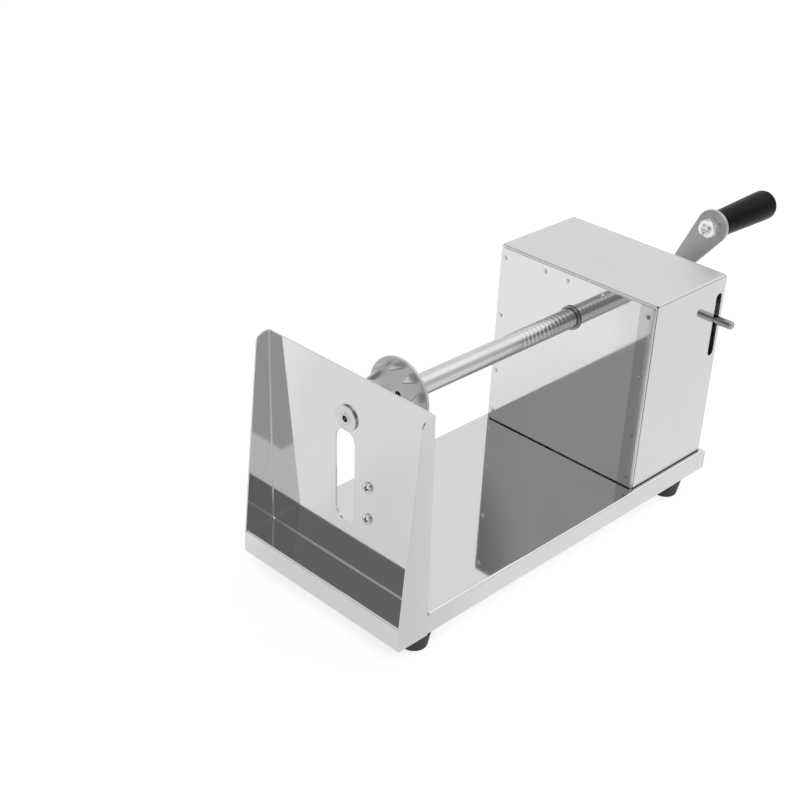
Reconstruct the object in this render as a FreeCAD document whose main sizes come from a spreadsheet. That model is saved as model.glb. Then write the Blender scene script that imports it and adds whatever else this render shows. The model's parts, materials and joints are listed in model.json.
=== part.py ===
import FreeCAD, Part
import math
import os
import re
import Sketcher
from FreeCAD import Placement, Rotation, Vector

# Hand cranked spiral cutter: a folded steel base with an upright blade stand at one end and
# a casing at the other. A hollow screw shaft runs through the casing. Its crank turns it
# against a half nut, so its toothed disc turns the food and feeds it onto the blade.
#
# Millimetres, +Z up. The origin lies on the table, under the middle of the bounding box.
# +X runs from the blade to the crank along the shaft. The release pin is on the -Y side.
# Places in the sheet are measured from the base's front face (along X), from the shaft's
# upright middle plane (along Y) and from the base's deck (along Z).

DRIVING_SIZES = {
    "origin_along": 206.5, "origin_across": -5.5,
    "deck_height": 27.5, "foot_height": 12, "sheet_thick": 1.2, "bend_radius": 1.6,
    # base tray
    "base_length": 312, "base_width": 140, "return_width": 14,
    "front_foot_along": 24.4, "back_foot_inset": 29.6, "foot_across": 59.2,
    "foot_top_radius": 10.8, "foot_bottom_radius": 8.6, "foot_recess_radius": 4.8, "foot_recess_depth": 5,
    # fasteners: radii of holes, shanks and heads, and the corner radii of nuts
    "screw_hole": 2.1, "screw_shank": 2, "screw_head": 3.6, "screw_head_rise": 2.2,
    "nut_corner": 4.04, "nut_thick": 3.2, "rivet_shank": 1.1, "rivet_head": 1.7, "rivet_rise": 0.6,
    "foot_bolt": 2.5, "foot_bolt_hole": 2.6, "foot_bolt_head": 4.2, "foot_nut_corner": 4.6,
    # blade stand and what it carries
    "stand_along": 23.2, "stand_height": 137.8, "stand_lean": 4.1, "cheek_top": 9.7, "cheek_round": 8,
    "relief_radius": 1.3, "stand_foot": 14, "stand_foot_half": 50,
    "slot_middle": 1.5, "slot_half_width": 8.2, "slot_low": 40, "slot_high": 89,
    "guide_outer": 3, "guide_bore": 2.1, "guide_flange": 8.5,
    "blade_low": 36, "blade_side": 27, "blade_fold": 7.6, "blade_edge": 3.2, "blade_rise": 4,
    "eye_radius": 8.5, "blade_screw_across": 18.3, "blade_screw_low": 43.2, "blade_screw_high": 65.8,
    # casing
    "casing_along": 229, "casing_depth": 80, "casing_width": 133.6, "casing_height": 137.9,
    "flange_width": 14, "panel_inset": 1.8, "panel_corner": 2, "panel_gap": 1,
    "casing_bend": 1.8, "corner_relief": 1.2,
    "pin_slot_along": 301.5, "pin_slot_low": 82.3, "pin_slot_high": 122.7, "pin_slot_half": 3.3,
    # shaft line
    "axis_height": 106, "shaft_radius": 7, "shaft_bore": 2.4, "run_gap": 0.05,
    "disc_along": 62, "disc_thick": 2.4, "disc_radius": 24.7,
    "tooth_radius": 20, "tooth_width": 7, "tooth_length": 9, "tooth_thick": 1.6,
    "arm_along": 343.5, "arm_thick": 3, "arm_reach": 52, "arm_angle": 31.6,
    "arm_end_radius": 12.2, "arm_hub_radius": 10.5, "arm_waist": 6.2, "stub_radius": 5,
    "bush_radius": 7.8, "bush_flange": 8.6, "bush_rise": 1.4, "bush_sleeve": 11,
    "ring_groove": 0.5, "ring_thick": 1.1, "ring_radius": 9, "washer_radius": 12, "washer_thick": 2.5,
    "hub_washer_thick": 1.5, "hub_nut_corner": 9.2, "hub_nut_thick": 7,
    "dome_nut_corner": 7.5, "dome_nut_base": 5.5, "dome_nut_length": 10.5,
    "grip_length": 65.2, "grip_near_radius": 9.2, "grip_far_radius": 10.8,
    "bolt_radius": 4, "bolt_head": 6.5, "grip_well": 7.2,
    # release lever
    "pivot_across": 48, "pivot_height": 98, "lever_along": 294, "lever_thick": 3,
    "pivot_radius": 3, "pivot_thread": 2.5, "pivot_nut_thick": 2,
    "pin_radius": 3, "pin_height": 106.5, "pin_reach": 81, "pin_tab_across": 60, "pin_nut_corner": 4.4,
    "lever_low": 88, "lever_high": 97.5, "nut_screw_across": 8, "nut_screw_height": 92.5,
    "nut_length": 26, "nut_half_width": 11, "nut_gap": 0.3,
    "spring_along": 289, "spring_across": 30, "spring_radius": 4.6, "spring_wire": 0.7,
    "shelf_thick": 2, "spring_pitch": 5.4,
    "shelf_height": 58, "spring_top": 87.7,
}

doc = FreeCAD.newDocument("tornado_potato_cutter")
sheet = doc.addObject("Spreadsheet::Sheet", "Sizes")
for row, (alias, size) in enumerate(DRIVING_SIZES.items(), start=1):
    sheet.set("A%d" % row, alias.replace("_", " "))
    sheet.set("B%d" % row, str(size))
    sheet.setAlias("B%d" % row, alias)
doc.recompute()

parts = []


def bound(formula):
    """A formula over the sheet's names, as an expression of the document."""
    def name(match):
        word = match.group(0)
        return "Sizes." + word if word in DRIVING_SIZES else word
    return re.sub(r"[a-z][a-z_]*", name, str(formula))


def size_of(formula):
    """What the sheet makes of a formula now, as a first guess for a sketch."""
    return float(sheet.evalExpression(bound(formula)))


def piece(label, along="0", across="0", height="0"):
    """An empty body whose own origin stands at a place given as in the sheet."""
    body = doc.addObject("PartDesign::Body", label)
    body.Label = label
    body.AllowCompound = True
    for axis, place in (("x", "%s - origin_along" % along),
                        ("y", "%s - origin_across" % across),
                        ("z", "%s + deck_height" % height)):
        body.setExpression(".Placement.Base." + axis, bound(place))
    parts.append(body)
    return body


def lean(body):
    """Tilt a body on its own origin, as the blade stand's plate leans."""
    angle = "-atan(stand_lean / stand_height)"
    tilt = FreeCAD.Rotation(Vector(0, 1, 0), -math.degrees(math.atan(size_of("stand_lean / stand_height"))))
    body.Placement = FreeCAD.Placement(body.Placement.Base, tilt)
    body.setExpression(".Placement.Rotation.Angle", bound(angle))


def sketch_on(body, plane, at):
    """A sketch on one of the body's origin planes, moved to a place along its axis."""
    drawing = body.newObject("Sketcher::SketchObject", body.Label + "_sketch")
    support = [f for f in body.Origin.OriginFeatures if f.Role == plane + "_Plane"][0]
    drawing.AttachmentSupport = [(support, "")]
    drawing.MapMode = "FlatFace"
    # the XZ plane of a body faces -Y, the other two face up their axis
    lift = "-(%s)" % at if plane == "XZ" else "%s" % at
    drawing.setExpression("AttachmentOffset.Base.z", bound(lift))
    return drawing


def hold(drawing, geometry, point, across, up):
    """Fix a point of a sketch at two formulas from the sketch's own origin."""
    for kind, formula in (("DistanceX", across), ("DistanceY", up)):
        rule = Sketcher.Constraint(kind, -1, 1, geometry, point, size_of(formula))
        number = drawing.addConstraint(rule)
        drawing.setExpression("Constraints[%d]" % number, bound(formula))


def outline(*corners):
    """A closed outline of straight edges."""
    def draw(drawing):
        spots = [Vector(size_of(x), size_of(y), 0) for x, y in corners]
        lines = [drawing.addGeometry(Part.LineSegment(spots[i], spots[(i + 1) % len(spots)]), False)
                 for i in range(len(spots))]
        for i, line in enumerate(lines):
            following = lines[(i + 1) % len(lines)]
            drawing.addConstraint(Sketcher.Constraint("Coincident", line, 2, following, 1))
            hold(drawing, line, 1, *corners[i])
    return draw


def rectangle(left, low, right, high):
    return outline((left, low), (right, low), (right, high), (left, high))


def circle(across, up, radius):
    """A full circle."""
    def draw(drawing):
        middle = Vector(size_of(across), size_of(up), 0)
        ring = drawing.addGeometry(Part.Circle(middle, Vector(0, 0, 1), size_of(radius)), False)
        hold(drawing, ring, 3, across, up)
        number = drawing.addConstraint(Sketcher.Constraint("Radius", ring, size_of(radius)))
        drawing.setExpression("Constraints[%d]" % number, bound(radius))
    return draw


def upright_slot(across, low, high, radius):
    """A slot with round ends, whose end centres lie one above the other."""
    def draw(drawing):
        x, bottom, top, r = (size_of(v) for v in (across, low, high, radius))
        up = Vector(0, 0, 1)
        lower_arc = Part.ArcOfCircle(Part.Circle(Vector(x, bottom, 0), up, r), math.pi, 2 * math.pi)
        upper_arc = Part.ArcOfCircle(Part.Circle(Vector(x, top, 0), up, r), 0, math.pi)
        foot = drawing.addGeometry(lower_arc, False)
        head = drawing.addGeometry(upper_arc, False)
        right = drawing.addGeometry(Part.LineSegment(Vector(x + r, bottom, 0), Vector(x + r, top, 0)), False)
        left = drawing.addGeometry(Part.LineSegment(Vector(x - r, top, 0), Vector(x - r, bottom, 0)), False)
        for first, first_end, second, second_end in ((foot, 2, right, 1), (right, 2, head, 1),
                                                     (head, 2, left, 1), (left, 2, foot, 1)):
            drawing.addConstraint(Sketcher.Constraint("Tangent", first, first_end, second, second_end))
        hold(drawing, foot, 3, across, low)
        hold(drawing, head, 3, across, high)
        number = drawing.addConstraint(Sketcher.Constraint("Radius", foot, r))
        drawing.setExpression("Constraints[%d]" % number, bound(radius))
    return draw


def add(body, plane, start, length, *shapes):
    """Pad the shapes from a place along the plane's axis, towards +X, +Y or +Z."""
    drawing = sketch_on(body, plane, start)
    for draw in shapes:
        draw(drawing)
    feature = body.newObject("PartDesign::Pad", body.Label + "_pad")
    feature.Profile = drawing
    feature.setExpression("Length", bound(length))
    feature.Reversed = plane == "XZ"
    body.Tip = feature
    doc.recompute()
    return feature


def cut(body, plane, start, length, *shapes):
    """Pocket the shapes from a place along the plane's axis, towards +X, +Y or +Z."""
    before = body.Tip.Shape.Volume
    drawing = sketch_on(body, plane, start)
    for draw in shapes:
        draw(drawing)
    feature = body.newObject("PartDesign::Pocket", body.Label + "_pocket")
    feature.Profile = drawing
    feature.setExpression("Length", bound(length))
    feature.Reversed = plane != "XZ"
    body.Tip = feature
    doc.recompute()
    if feature.Shape.Volume > before - 0.01:
        raise RuntimeError("a pocket of %s cuts nothing" % body.Label)
    return feature


def turn(body, *corners):
    """Revolve an outline, given as places along X and radii, about the X axis."""
    drawing = sketch_on(body, "XZ", "0")
    outline(*corners)(drawing)
    feature = body.newObject("PartDesign::Revolution", body.Label + "_turned")
    feature.Profile = drawing
    feature.ReferenceAxis = (drawing, ["H_Axis"])
    feature.Angle = 360
    body.Tip = feature
    doc.recompute()
    return feature


def turn_upright(body, *corners):
    """Revolve an outline, given as radii and heights, about the Z axis."""
    drawing = sketch_on(body, "XZ", "0")
    outline(*corners)(drawing)
    feature = body.newObject("PartDesign::Revolution", body.Label + "_turned")
    feature.Profile = drawing
    feature.ReferenceAxis = (drawing, ["V_Axis"])
    feature.Angle = 360
    body.Tip = feature
    doc.recompute()
    return feature


def soften(body, radius, picks, kind="Fillet"):
    """Round or chamfer the edges that a test picks."""
    base = body.Tip
    chosen = ["Edge%d" % i for i, edge in enumerate(base.Shape.Edges, start=1) if picks(edge)]
    if not chosen:
        raise RuntimeError("no edge to soften on %s" % body.Label)
    feature = body.newObject("PartDesign::" + kind, body.Label + "_edges")
    feature.Base = (base, chosen)
    feature.setExpression("Radius" if kind == "Fillet" else "Size", bound(radius))
    body.Tip = feature
    doc.recompute()
    return feature


def near(value, target):
    return abs(value - size_of(target)) < 0.02


def runs(edge, axis):
    """Does a straight edge run along X, Y or Z?"""
    box = edge.BoundBox
    spans = {"X": box.XLength, "Y": box.YLength, "Z": box.ZLength}
    return all((length > 0.5) == (name == axis) for name, length in spans.items())


def hexagon(across, up, radius):
    """A nut's outline, from its corner radius."""
    return outline(*[("%s + %s * cos(%d)" % (across, radius, a), "%s + %s * sin(%d)" % (up, radius, a))
                     for a in range(0, 360, 60)])


def both_sides(place):
    return ("-(%s)" % place, place)


# Base tray: one sheet folded down on all four sides and back under along both long sides.
tray = piece("base_tray")
add(tray, "XY", "foot_height - deck_height", "deck_height - foot_height",
    rectangle("0", "-base_width / 2", "base_length", "base_width / 2"))
soften(tray, "bend_radius", lambda e: runs(e, "X") or runs(e, "Y") and e.BoundBox.ZMin > -1)
cut(tray, "YZ", "sheet_thick", "base_length - 2 * sheet_thick",
    rectangle("sheet_thick - base_width / 2", "foot_height - deck_height + sheet_thick",
              "base_width / 2 - sheet_thick", "-sheet_thick"))
cut(tray, "XY", "foot_height - deck_height", "sheet_thick",
    rectangle("sheet_thick", "return_width - base_width / 2",
              "base_length - sheet_thick", "base_width / 2 - return_width"))
for side in (-1, 1):
    # the blade stand's cheeks take the place of the side skirts here
    cut(tray, "XZ", "%d * base_width / 2 - %d * sheet_thick" % (side, side == 1), "sheet_thick",
        rectangle("-1", "foot_height - deck_height - 1", "stand_along + sheet_thick", "1"))
cut(tray, "XY", "foot_height - deck_height", "sheet_thick",
    *[circle(x, y, "foot_bolt_hole") for x in ("front_foot_along", "base_length - back_foot_inset")
      for y in both_sides("foot_across")])
CASING_SCREWS = [(x, y) for x in ("casing_along + 12", "casing_along + 62")
                 for y in both_sides("casing_width / 2 - 7")]
cut(tray, "XY", "-sheet_thick", "sheet_thick", *[circle(x, y, "screw_hole") for x, y in CASING_SCREWS])
STAND_RIVETS = [("stand_along + 9", y) for y in ("-42", "0", "42")]
cut(tray, "XY", "-sheet_thick", "sheet_thick", *[circle(x, y, "rivet_shank") for x, y in STAND_RIVETS])
# relief holes, where the folds of the deck, the cheeks and the stand's plate meet
for edge in ("-base_width / 2", "base_width / 2 - 3"):
    cut(tray, "XZ", edge, "3", circle("stand_along + sheet_thick", "0", "relief_radius"))

# Blade stand: a plate that leans forward a little, with a cheek folded forward at each side
# and a foot folded back.
stand = piece("blade_stand")
add(stand, "XZ", "-base_width / 2", "base_width",
    outline(("stand_along", "0"), ("stand_along + sheet_thick", "0"),
            ("stand_along + sheet_thick - stand_lean", "stand_height"),
            ("stand_along - stand_lean", "stand_height")))
for side in (-1, 1):
    add(stand, "XZ", "%d * base_width / 2 - %d * sheet_thick" % (side, side == 1), "sheet_thick",
        outline(("0", "0"), ("stand_along + sheet_thick", "0"),
                ("stand_along + sheet_thick - stand_lean", "stand_height"),
                ("cheek_top", "stand_height")))
soften(stand, "bend_radius", lambda e: e.BoundBox.ZLength > 100 and e.BoundBox.YLength < 0.5
       and near(e.BoundBox.XMax, "stand_along + sheet_thick") and near(abs(e.BoundBox.YMin), "base_width / 2"))
soften(stand, "cheek_round", lambda e: runs(e, "Y") and near(e.BoundBox.XMin, "cheek_top")
       and near(e.BoundBox.ZMin, "stand_height"))
for side in (-1, 1):
    add(stand, "XZ", "%d * base_width / 2 - %d * sheet_thick" % (side, side == 1), "sheet_thick",
        rectangle("0", "foot_height - deck_height", "stand_along + sheet_thick", "0"))
add(stand, "XY", "0", "sheet_thick",
    rectangle("stand_along + sheet_thick / 2", "-stand_foot_half", "stand_along + stand_foot", "stand_foot_half"))
cut(stand, "YZ", "stand_along - stand_lean", "sheet_thick + stand_lean",
    upright_slot("slot_middle", "slot_low", "slot_high", "slot_half_width"),
    circle("0", "axis_height", "guide_outer + run_gap"),
    circle("-blade_screw_across", "blade_screw_low", "screw_hole"),
    circle("-blade_screw_across", "blade_screw_high", "screw_hole"))
for edge in ("-base_width / 2", "base_width / 2 - 3"):
    cut(stand, "XZ", edge, "3", circle("stand_along + sheet_thick", "0", "relief_radius"))
cut(stand, "XY", "0", "sheet_thick", *[circle(x, y, "rivet_shank") for x, y in STAND_RIVETS])

# Knife: flat on the back of the plate, with an eye round the centre guide. Its lip leans
# back beside the slot, so a slice as thick as the thread's pitch slides under it and out.
knife = piece("blade", "stand_along + sheet_thick", "0", "0")
lean(knife)
add(knife, "YZ", "0", "sheet_thick",
    outline(("-blade_side", "blade_low"), ("-blade_fold", "blade_low"), ("-blade_fold", "axis_height"),
            ("-4", "axis_height + 7"), ("-blade_side", "blade_screw_high + 14")))
add(knife, "YZ", "0", "sheet_thick", circle("0", "axis_height", "eye_radius"))
add(knife, "XY", "blade_low", "axis_height - guide_outer - 0.6 - blade_low",
    outline(("0", "-blade_fold - 1.2"), ("0", "-blade_fold"), ("blade_rise", "-blade_edge"),
            ("blade_rise - 0.3", "-blade_edge - 1.2"), ("sheet_thick", "-blade_fold - 1.2")))
cut(knife, "YZ", "0", "sheet_thick",
    circle("0", "axis_height", "guide_outer + 2 * run_gap"),
    circle("-blade_screw_across", "blade_screw_low", "screw_hole"),
    circle("-blade_screw_across", "blade_screw_high", "screw_hole"))
soften(knife, "3", lambda e: runs(e, "X") and near(e.BoundBox.YMin, "-blade_side"))

# Centre guide: a tube with a flange, which stands in the plate and holds the knife's eye.
guide = piece("skewer_guide", "stand_along - stand_lean * axis_height / stand_height", "0", "axis_height")
lean(guide)
turn(guide, ("-2", "guide_bore"), ("12.5", "guide_bore"), ("12.5", "guide_outer - 0.4"),
     ("9", "guide_outer"), ("0", "guide_outer"), ("0", "guide_flange"), ("-1.5", "guide_flange"),
     ("-1.5", "guide_outer + 1"), ("-2", "guide_outer + 0.6"))

BLADE_SCREWS = [("-blade_screw_across", z) for z in ("blade_screw_low", "blade_screw_high")]
blade_screws = piece("blade_screws", "stand_along")
lean(blade_screws)
add(blade_screws, "YZ", "-screw_head_rise", "screw_head_rise",
    *[circle(y, z, "screw_head") for y, z in BLADE_SCREWS])
soften(blade_screws, "1.2", lambda e: near(e.BoundBox.XMin, "-screw_head_rise"), "Chamfer")
add(blade_screws, "YZ", "0", "7", *[circle(y, z, "screw_shank") for y, z in BLADE_SCREWS])

blade_nuts = piece("blade_nuts", "stand_along")
lean(blade_nuts)
add(blade_nuts, "YZ", "2 * sheet_thick", "nut_thick", *[hexagon(y, z, "nut_corner") for y, z in BLADE_SCREWS])
cut(blade_nuts, "YZ", "2 * sheet_thick", "nut_thick", *[circle(y, z, "screw_shank") for y, z in BLADE_SCREWS])

stand_rivets = piece("stand_rivets")
add(stand_rivets, "XY", "sheet_thick", "rivet_rise", *[circle(x, y, "rivet_head") for x, y in STAND_RIVETS])
soften(stand_rivets, "0.4", lambda e: near(e.BoundBox.ZMin, "sheet_thick + rivet_rise"), "Chamfer")
add(stand_rivets, "XY", "-sheet_thick", "2 * sheet_thick",
    *[circle(x, y, "rivet_shank") for x, y in STAND_RIVETS])
add(stand_rivets, "XY", "-2 * sheet_thick", "sheet_thick",
    *[circle(x, y, "rivet_head - 0.2") for x, y in STAND_RIVETS])

# Feet: one rubber cone under each corner, screwed up into the tray's returns.
FEET = [("front_right", "front_foot_along", "-foot_across"),
        ("front_left", "front_foot_along", "foot_across"),
        ("back_right", "base_length - back_foot_inset", "-foot_across"),
        ("back_left", "base_length - back_foot_inset", "foot_across")]
for corner, x, y in FEET:
    foot = piece("rubber_foot_" + corner, x, y, "-deck_height")
    turn_upright(foot, ("foot_bolt_hole", "foot_recess_depth"), ("foot_bolt_hole", "foot_height"),
                 ("foot_top_radius", "foot_height"), ("foot_bottom_radius", "0"),
                 ("foot_recess_radius", "0"), ("foot_recess_radius", "foot_recess_depth"))
    soften(foot, "1", lambda e: near(e.BoundBox.ZMax, "0") and e.BoundBox.XLength > 15, "Chamfer")

foot_screws = piece("foot_screws", "0", "0", "-deck_height")
add(foot_screws, "XY", "foot_recess_depth - 2.6", "2.6",
    *[circle(x, y, "foot_bolt_head") for _, x, y in FEET])
add(foot_screws, "XY", "foot_recess_depth", "15", *[circle(x, y, "foot_bolt") for _, x, y in FEET])
foot_nuts = piece("foot_nuts", "0", "0", "-deck_height")
add(foot_nuts, "XY", "foot_height + sheet_thick", "4",
    *[hexagon(x, y, "foot_nut_corner") for _, x, y in FEET])
cut(foot_nuts, "XY", "foot_height + sheet_thick", "4", *[circle(x, y, "foot_bolt") for _, x, y in FEET])

# Casing shell: one sheet folded over as top and two sides, with flanges for the end panels
# at the front and back and for the deck below. The right side has the release pin's slot.
shell = piece("casing_shell", "casing_along")
add(shell, "XY", "0", "casing_height",
    rectangle("0", "-casing_width / 2", "casing_depth", "casing_width / 2"))
soften(shell, "casing_bend", lambda e: e.BoundBox.ZMax > 1 or runs(e, "X"))
cut(shell, "XY", "sheet_thick", "casing_height - 2 * sheet_thick",
    rectangle("sheet_thick", "sheet_thick - casing_width / 2",
              "casing_depth - sheet_thick", "casing_width / 2 - sheet_thick"))
cut(shell, "YZ", "0", "casing_depth",
    rectangle("flange_width - casing_width / 2", "sheet_thick",
              "casing_width / 2 - flange_width", "casing_height - flange_width"))
cut(shell, "XY", "0", "sheet_thick",
    rectangle("-1", "flange_width - casing_width / 2", "casing_depth + 1", "casing_width / 2 - flange_width"))
# relief holes at the corners, where the top, the side and the end flange meet
TOP_CORNERS = [(y, "casing_height - corner_relief / 2")
               for y in both_sides("casing_width / 2 - corner_relief / 2")]
for end in ("0", "casing_depth - 2"):
    cut(shell, "YZ", end, "2", *[circle(y, z, "corner_relief") for y, z in TOP_CORNERS])
cut(shell, "XZ", "-casing_width / 2", "sheet_thick",
    upright_slot("pin_slot_along - casing_along", "pin_slot_low", "pin_slot_high", "pin_slot_half"))
cut(shell, "XY", "0", "sheet_thick",
    *[circle("%s - casing_along" % x, y, "screw_hole") for x, y in CASING_SCREWS])
FRONT_RIVETS = ([(y, z) for y in both_sides("casing_width / 2 - 5.6") for z in ("8", "41", "85", "129")]
                + [(y, "131") for y in ("25.5", "6", "-24.5")])
BACK_RIVETS = ([(y, z) for y in both_sides("casing_width / 2 - 5.6") for z in ("8", "68", "129")]
               + [(y, "131") for y in ("25", "-25")])
cut(shell, "YZ", "0", "sheet_thick", *[circle(y, z, "rivet_shank") for y, z in FRONT_RIVETS])
cut(shell, "YZ", "casing_depth - sheet_thick", "sheet_thick",
    *[circle(y, z, "rivet_shank") for y, z in BACK_RIVETS])


def end_panel(label, along, holes, rivets):
    """A flat panel over one end of the casing, a little inside its outline."""
    panel = piece(label, along)
    add(panel, "YZ", "0", "sheet_thick",
        rectangle("panel_inset - casing_width / 2", "panel_gap",
                  "casing_width / 2 - panel_inset", "casing_height - panel_inset"))
    soften(panel, "panel_corner",
           lambda e: runs(e, "X") and near(e.BoundBox.ZMin, "casing_height - panel_inset"))
    cut(panel, "YZ", "0", "sheet_thick", *holes, *[circle(y, z, "rivet_shank") for y, z in rivets])
    return panel


SHELF_RIVETS = [(y, "shelf_height - 14") for y in ("-34", "-26")]
end_panel("casing_front_panel", "casing_along - sheet_thick",
          [circle("0", "axis_height", "bush_radius")], FRONT_RIVETS)
end_panel("casing_back_panel", "casing_along + casing_depth",
          [circle("0", "axis_height", "bush_radius"), circle("pivot_across", "pivot_height", "pivot_thread")],
          BACK_RIVETS + SHELF_RIVETS)


def rivets(label, along, outward, grip, places):
    """Domed rivet heads outside a panel, with shanks through it and what it lies on."""
    group = piece(label, along)
    head = "-rivet_rise" if outward < 0 else "0"
    shank = "0" if outward < 0 else "-(%s)" % grip
    add(group, "YZ", head, "rivet_rise", *[circle(y, z, "rivet_head") for y, z in places])
    tip = "%d * rivet_rise" % outward
    soften(group, "0.4", lambda e: near(e.BoundBox.XMin, tip) and near(e.BoundBox.XMax, tip), "Chamfer")
    add(group, "YZ", shank, grip, *[circle(y, z, "rivet_shank") for y, z in places])
    return group


rivets("front_panel_rivets", "casing_along - sheet_thick", -1, "3 * sheet_thick", FRONT_RIVETS)
rivets("back_panel_rivets", "casing_along + casing_depth + sheet_thick", 1, "3 * sheet_thick", BACK_RIVETS)
rivets("shelf_rivets", "casing_along + casing_depth + sheet_thick", 1, "4 * sheet_thick", SHELF_RIVETS)

casing_screws = piece("casing_screws")
add(casing_screws, "XY", "-sheet_thick - screw_head_rise", "screw_head_rise",
    *[circle(x, y, "screw_head") for x, y in CASING_SCREWS])
add(casing_screws, "XY", "-sheet_thick", "7", *[circle(x, y, "screw_shank") for x, y in CASING_SCREWS])
casing_nuts = piece("casing_nuts")
add(casing_nuts, "XY", "sheet_thick", "nut_thick", *[hexagon(x, y, "nut_corner") for x, y in CASING_SCREWS])
cut(casing_nuts, "XY", "sheet_thick", "nut_thick", *[circle(x, y, "screw_shank") for x, y in CASING_SCREWS])

# Bushes: flanged steel sleeves in the two panels, in which the shaft turns and slides.
for label, along, way in (("front_bush", "casing_along - sheet_thick", 1),
                          ("back_bush", "casing_along + casing_depth + sheet_thick", -1)):
    bush = piece(label, along, "0", "axis_height")
    turn(bush, ("-%d * bush_rise" % way, "shaft_radius + run_gap"),
         ("%d * bush_sleeve" % way, "shaft_radius + run_gap"), ("%d * bush_sleeve" % way, "bush_radius"),
         ("0", "bush_radius"), ("0", "bush_flange"),
         ("-%d * (bush_rise - 0.4)" % way, "bush_flange"), ("-%d * bush_rise" % way, "bush_flange - 0.4"))

# Screw shaft: a tube from the disc to the crank, shouldered down at the back for the arm.
shaft = piece("screw_shaft", "arm_along", "0", "axis_height")
turn(shaft, ("disc_along + disc_thick - arm_along", "shaft_bore"),
     ("disc_along + disc_thick - arm_along", "shaft_radius"), ("0", "shaft_radius"), ("0", "stub_radius"),
     ("arm_thick + 11", "stub_radius"), ("arm_thick + 11", "shaft_bore"))
cut(shaft, "YZ", "-4.2", "ring_thick",
    circle("0", "0", "shaft_radius + 1"), circle("0", "0", "shaft_radius - ring_groove"))

# Pusher disc: ten pointed teeth, pressed out of its rim towards the blade.
disc = piece("pusher_disc", "disc_along", "0", "axis_height")
add(disc, "YZ", "0", "disc_thick", circle("0", "0", "disc_radius"), circle("0", "0", "shaft_bore"))
soften(disc, "0.5", lambda e: near(e.BoundBox.YLength, "2 * disc_radius"), "Chamfer")
tooth = add(disc, "XY", "tooth_radius - tooth_thick / 2", "tooth_thick",
            outline(("0.4", "-tooth_width / 2"), ("0.4", "tooth_width / 2"), ("-tooth_length", "0")))
teeth = disc.newObject("PartDesign::PolarPattern", "pusher_teeth")
teeth.Originals = [tooth]
teeth.Axis = ([f for f in disc.Origin.OriginFeatures if f.Role == "X_Axis"][0], [""])
teeth.Angle = 360
teeth.Occurrences = 10
disc.Tip = teeth
doc.recompute()

# Crank: a flat arm, clamped on the shaft's stub and carrying the grip at its round end.
arm = piece("crank_arm", "arm_along", "0", "axis_height")
END = ("-arm_reach * sin(arm_angle)", "arm_reach * cos(arm_angle)")


def beside(place, offset):
    """A point beside the arm's middle line: how far out along it, and how far to one side."""
    return ("-(%s) * sin(arm_angle) + (%s) * cos(arm_angle)" % (place, offset),
            "(%s) * cos(arm_angle) + (%s) * sin(arm_angle)" % (place, offset))


add(arm, "YZ", "0", "arm_thick",
    outline(beside("4", "-arm_waist"), beside("4", "arm_waist"),
            beside("arm_reach - 1.5", "arm_end_radius - 0.1"),
            beside("arm_reach - 1.5", "0.1 - arm_end_radius")))
add(arm, "YZ", "0", "arm_thick", circle(*END, "arm_end_radius"))
add(arm, "YZ", "0", "arm_thick", circle("0", "0", "arm_hub_radius"))
cut(arm, "YZ", "0", "arm_thick", circle("0", "0", "stub_radius"), circle(*END, "bolt_radius"))

hub_washer = piece("hub_washer", "arm_along + arm_thick", "0", "axis_height")
add(hub_washer, "YZ", "0", "hub_washer_thick", circle("0", "0", "9.5"), circle("0", "0", "stub_radius"))
hub_nut = piece("hub_nut", "arm_along + arm_thick + hub_washer_thick", "0", "axis_height")
add(hub_nut, "YZ", "0", "hub_nut_thick", hexagon("0", "0", "hub_nut_corner"))
cut(hub_nut, "YZ", "0", "hub_nut_thick", circle("0", "0", "stub_radius"))

# An open ring in the shaft's groove and a loose washer, which the arm pushes on the bush.
snap_ring = piece("snap_ring", "arm_along - 4.2", "0", "axis_height")
add(snap_ring, "YZ", "0", "ring_thick",
    circle("0", "0", "ring_radius"), circle("0", "0", "shaft_radius - ring_groove"))
cut(snap_ring, "YZ", "0", "ring_thick", rectangle("-1.6", "-ring_radius - 1", "1.6", "-5"))
buffer_washer = piece("buffer_washer", "arm_along - 2.8", "0", "axis_height")
add(buffer_washer, "YZ", "0", "washer_thick",
    circle("0", "0", "washer_radius"), circle("0", "0", "shaft_radius + 0.08"))
soften(buffer_washer, "0.5", lambda e: near(e.BoundBox.YLength, "2 * washer_radius"), "Chamfer")


def at_grip(label, along):
    """A body whose own X axis is the grip's."""
    return piece(label, along, "(%s)" % END[0], "axis_height + (%s)" % END[1])


dome_nut = at_grip("dome_nut", "arm_along")
add(dome_nut, "YZ", "-dome_nut_base", "dome_nut_base", hexagon("0", "0", "dome_nut_corner"))
turn(dome_nut, ("-dome_nut_base", "0"), ("-dome_nut_base", "6.2"), ("-dome_nut_base - 2", "5.7"),
     ("1.3 - dome_nut_length", "4.2"), ("0.3 - dome_nut_length", "2.1"), ("-dome_nut_length", "0"))
cut(dome_nut, "YZ", "-6.5", "6.5", circle("0", "0", "bolt_radius"))
grip_washer = at_grip("grip_washer", "arm_along + arm_thick")
add(grip_washer, "YZ", "0", "1", circle("0", "0", "8"), circle("0", "0", "bolt_radius"))
grip_bolt = at_grip("grip_bolt", "arm_along + arm_thick")
turn(grip_bolt, ("-9.5", "0"), ("-9.5", "bolt_radius"), ("grip_length - 7.6", "bolt_radius"),
     ("grip_length - 7.6", "bolt_head"), ("grip_length - 5.2", "bolt_head"),
     ("grip_length - 3.6", "4.6"), ("grip_length - 3", "0"))

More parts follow.
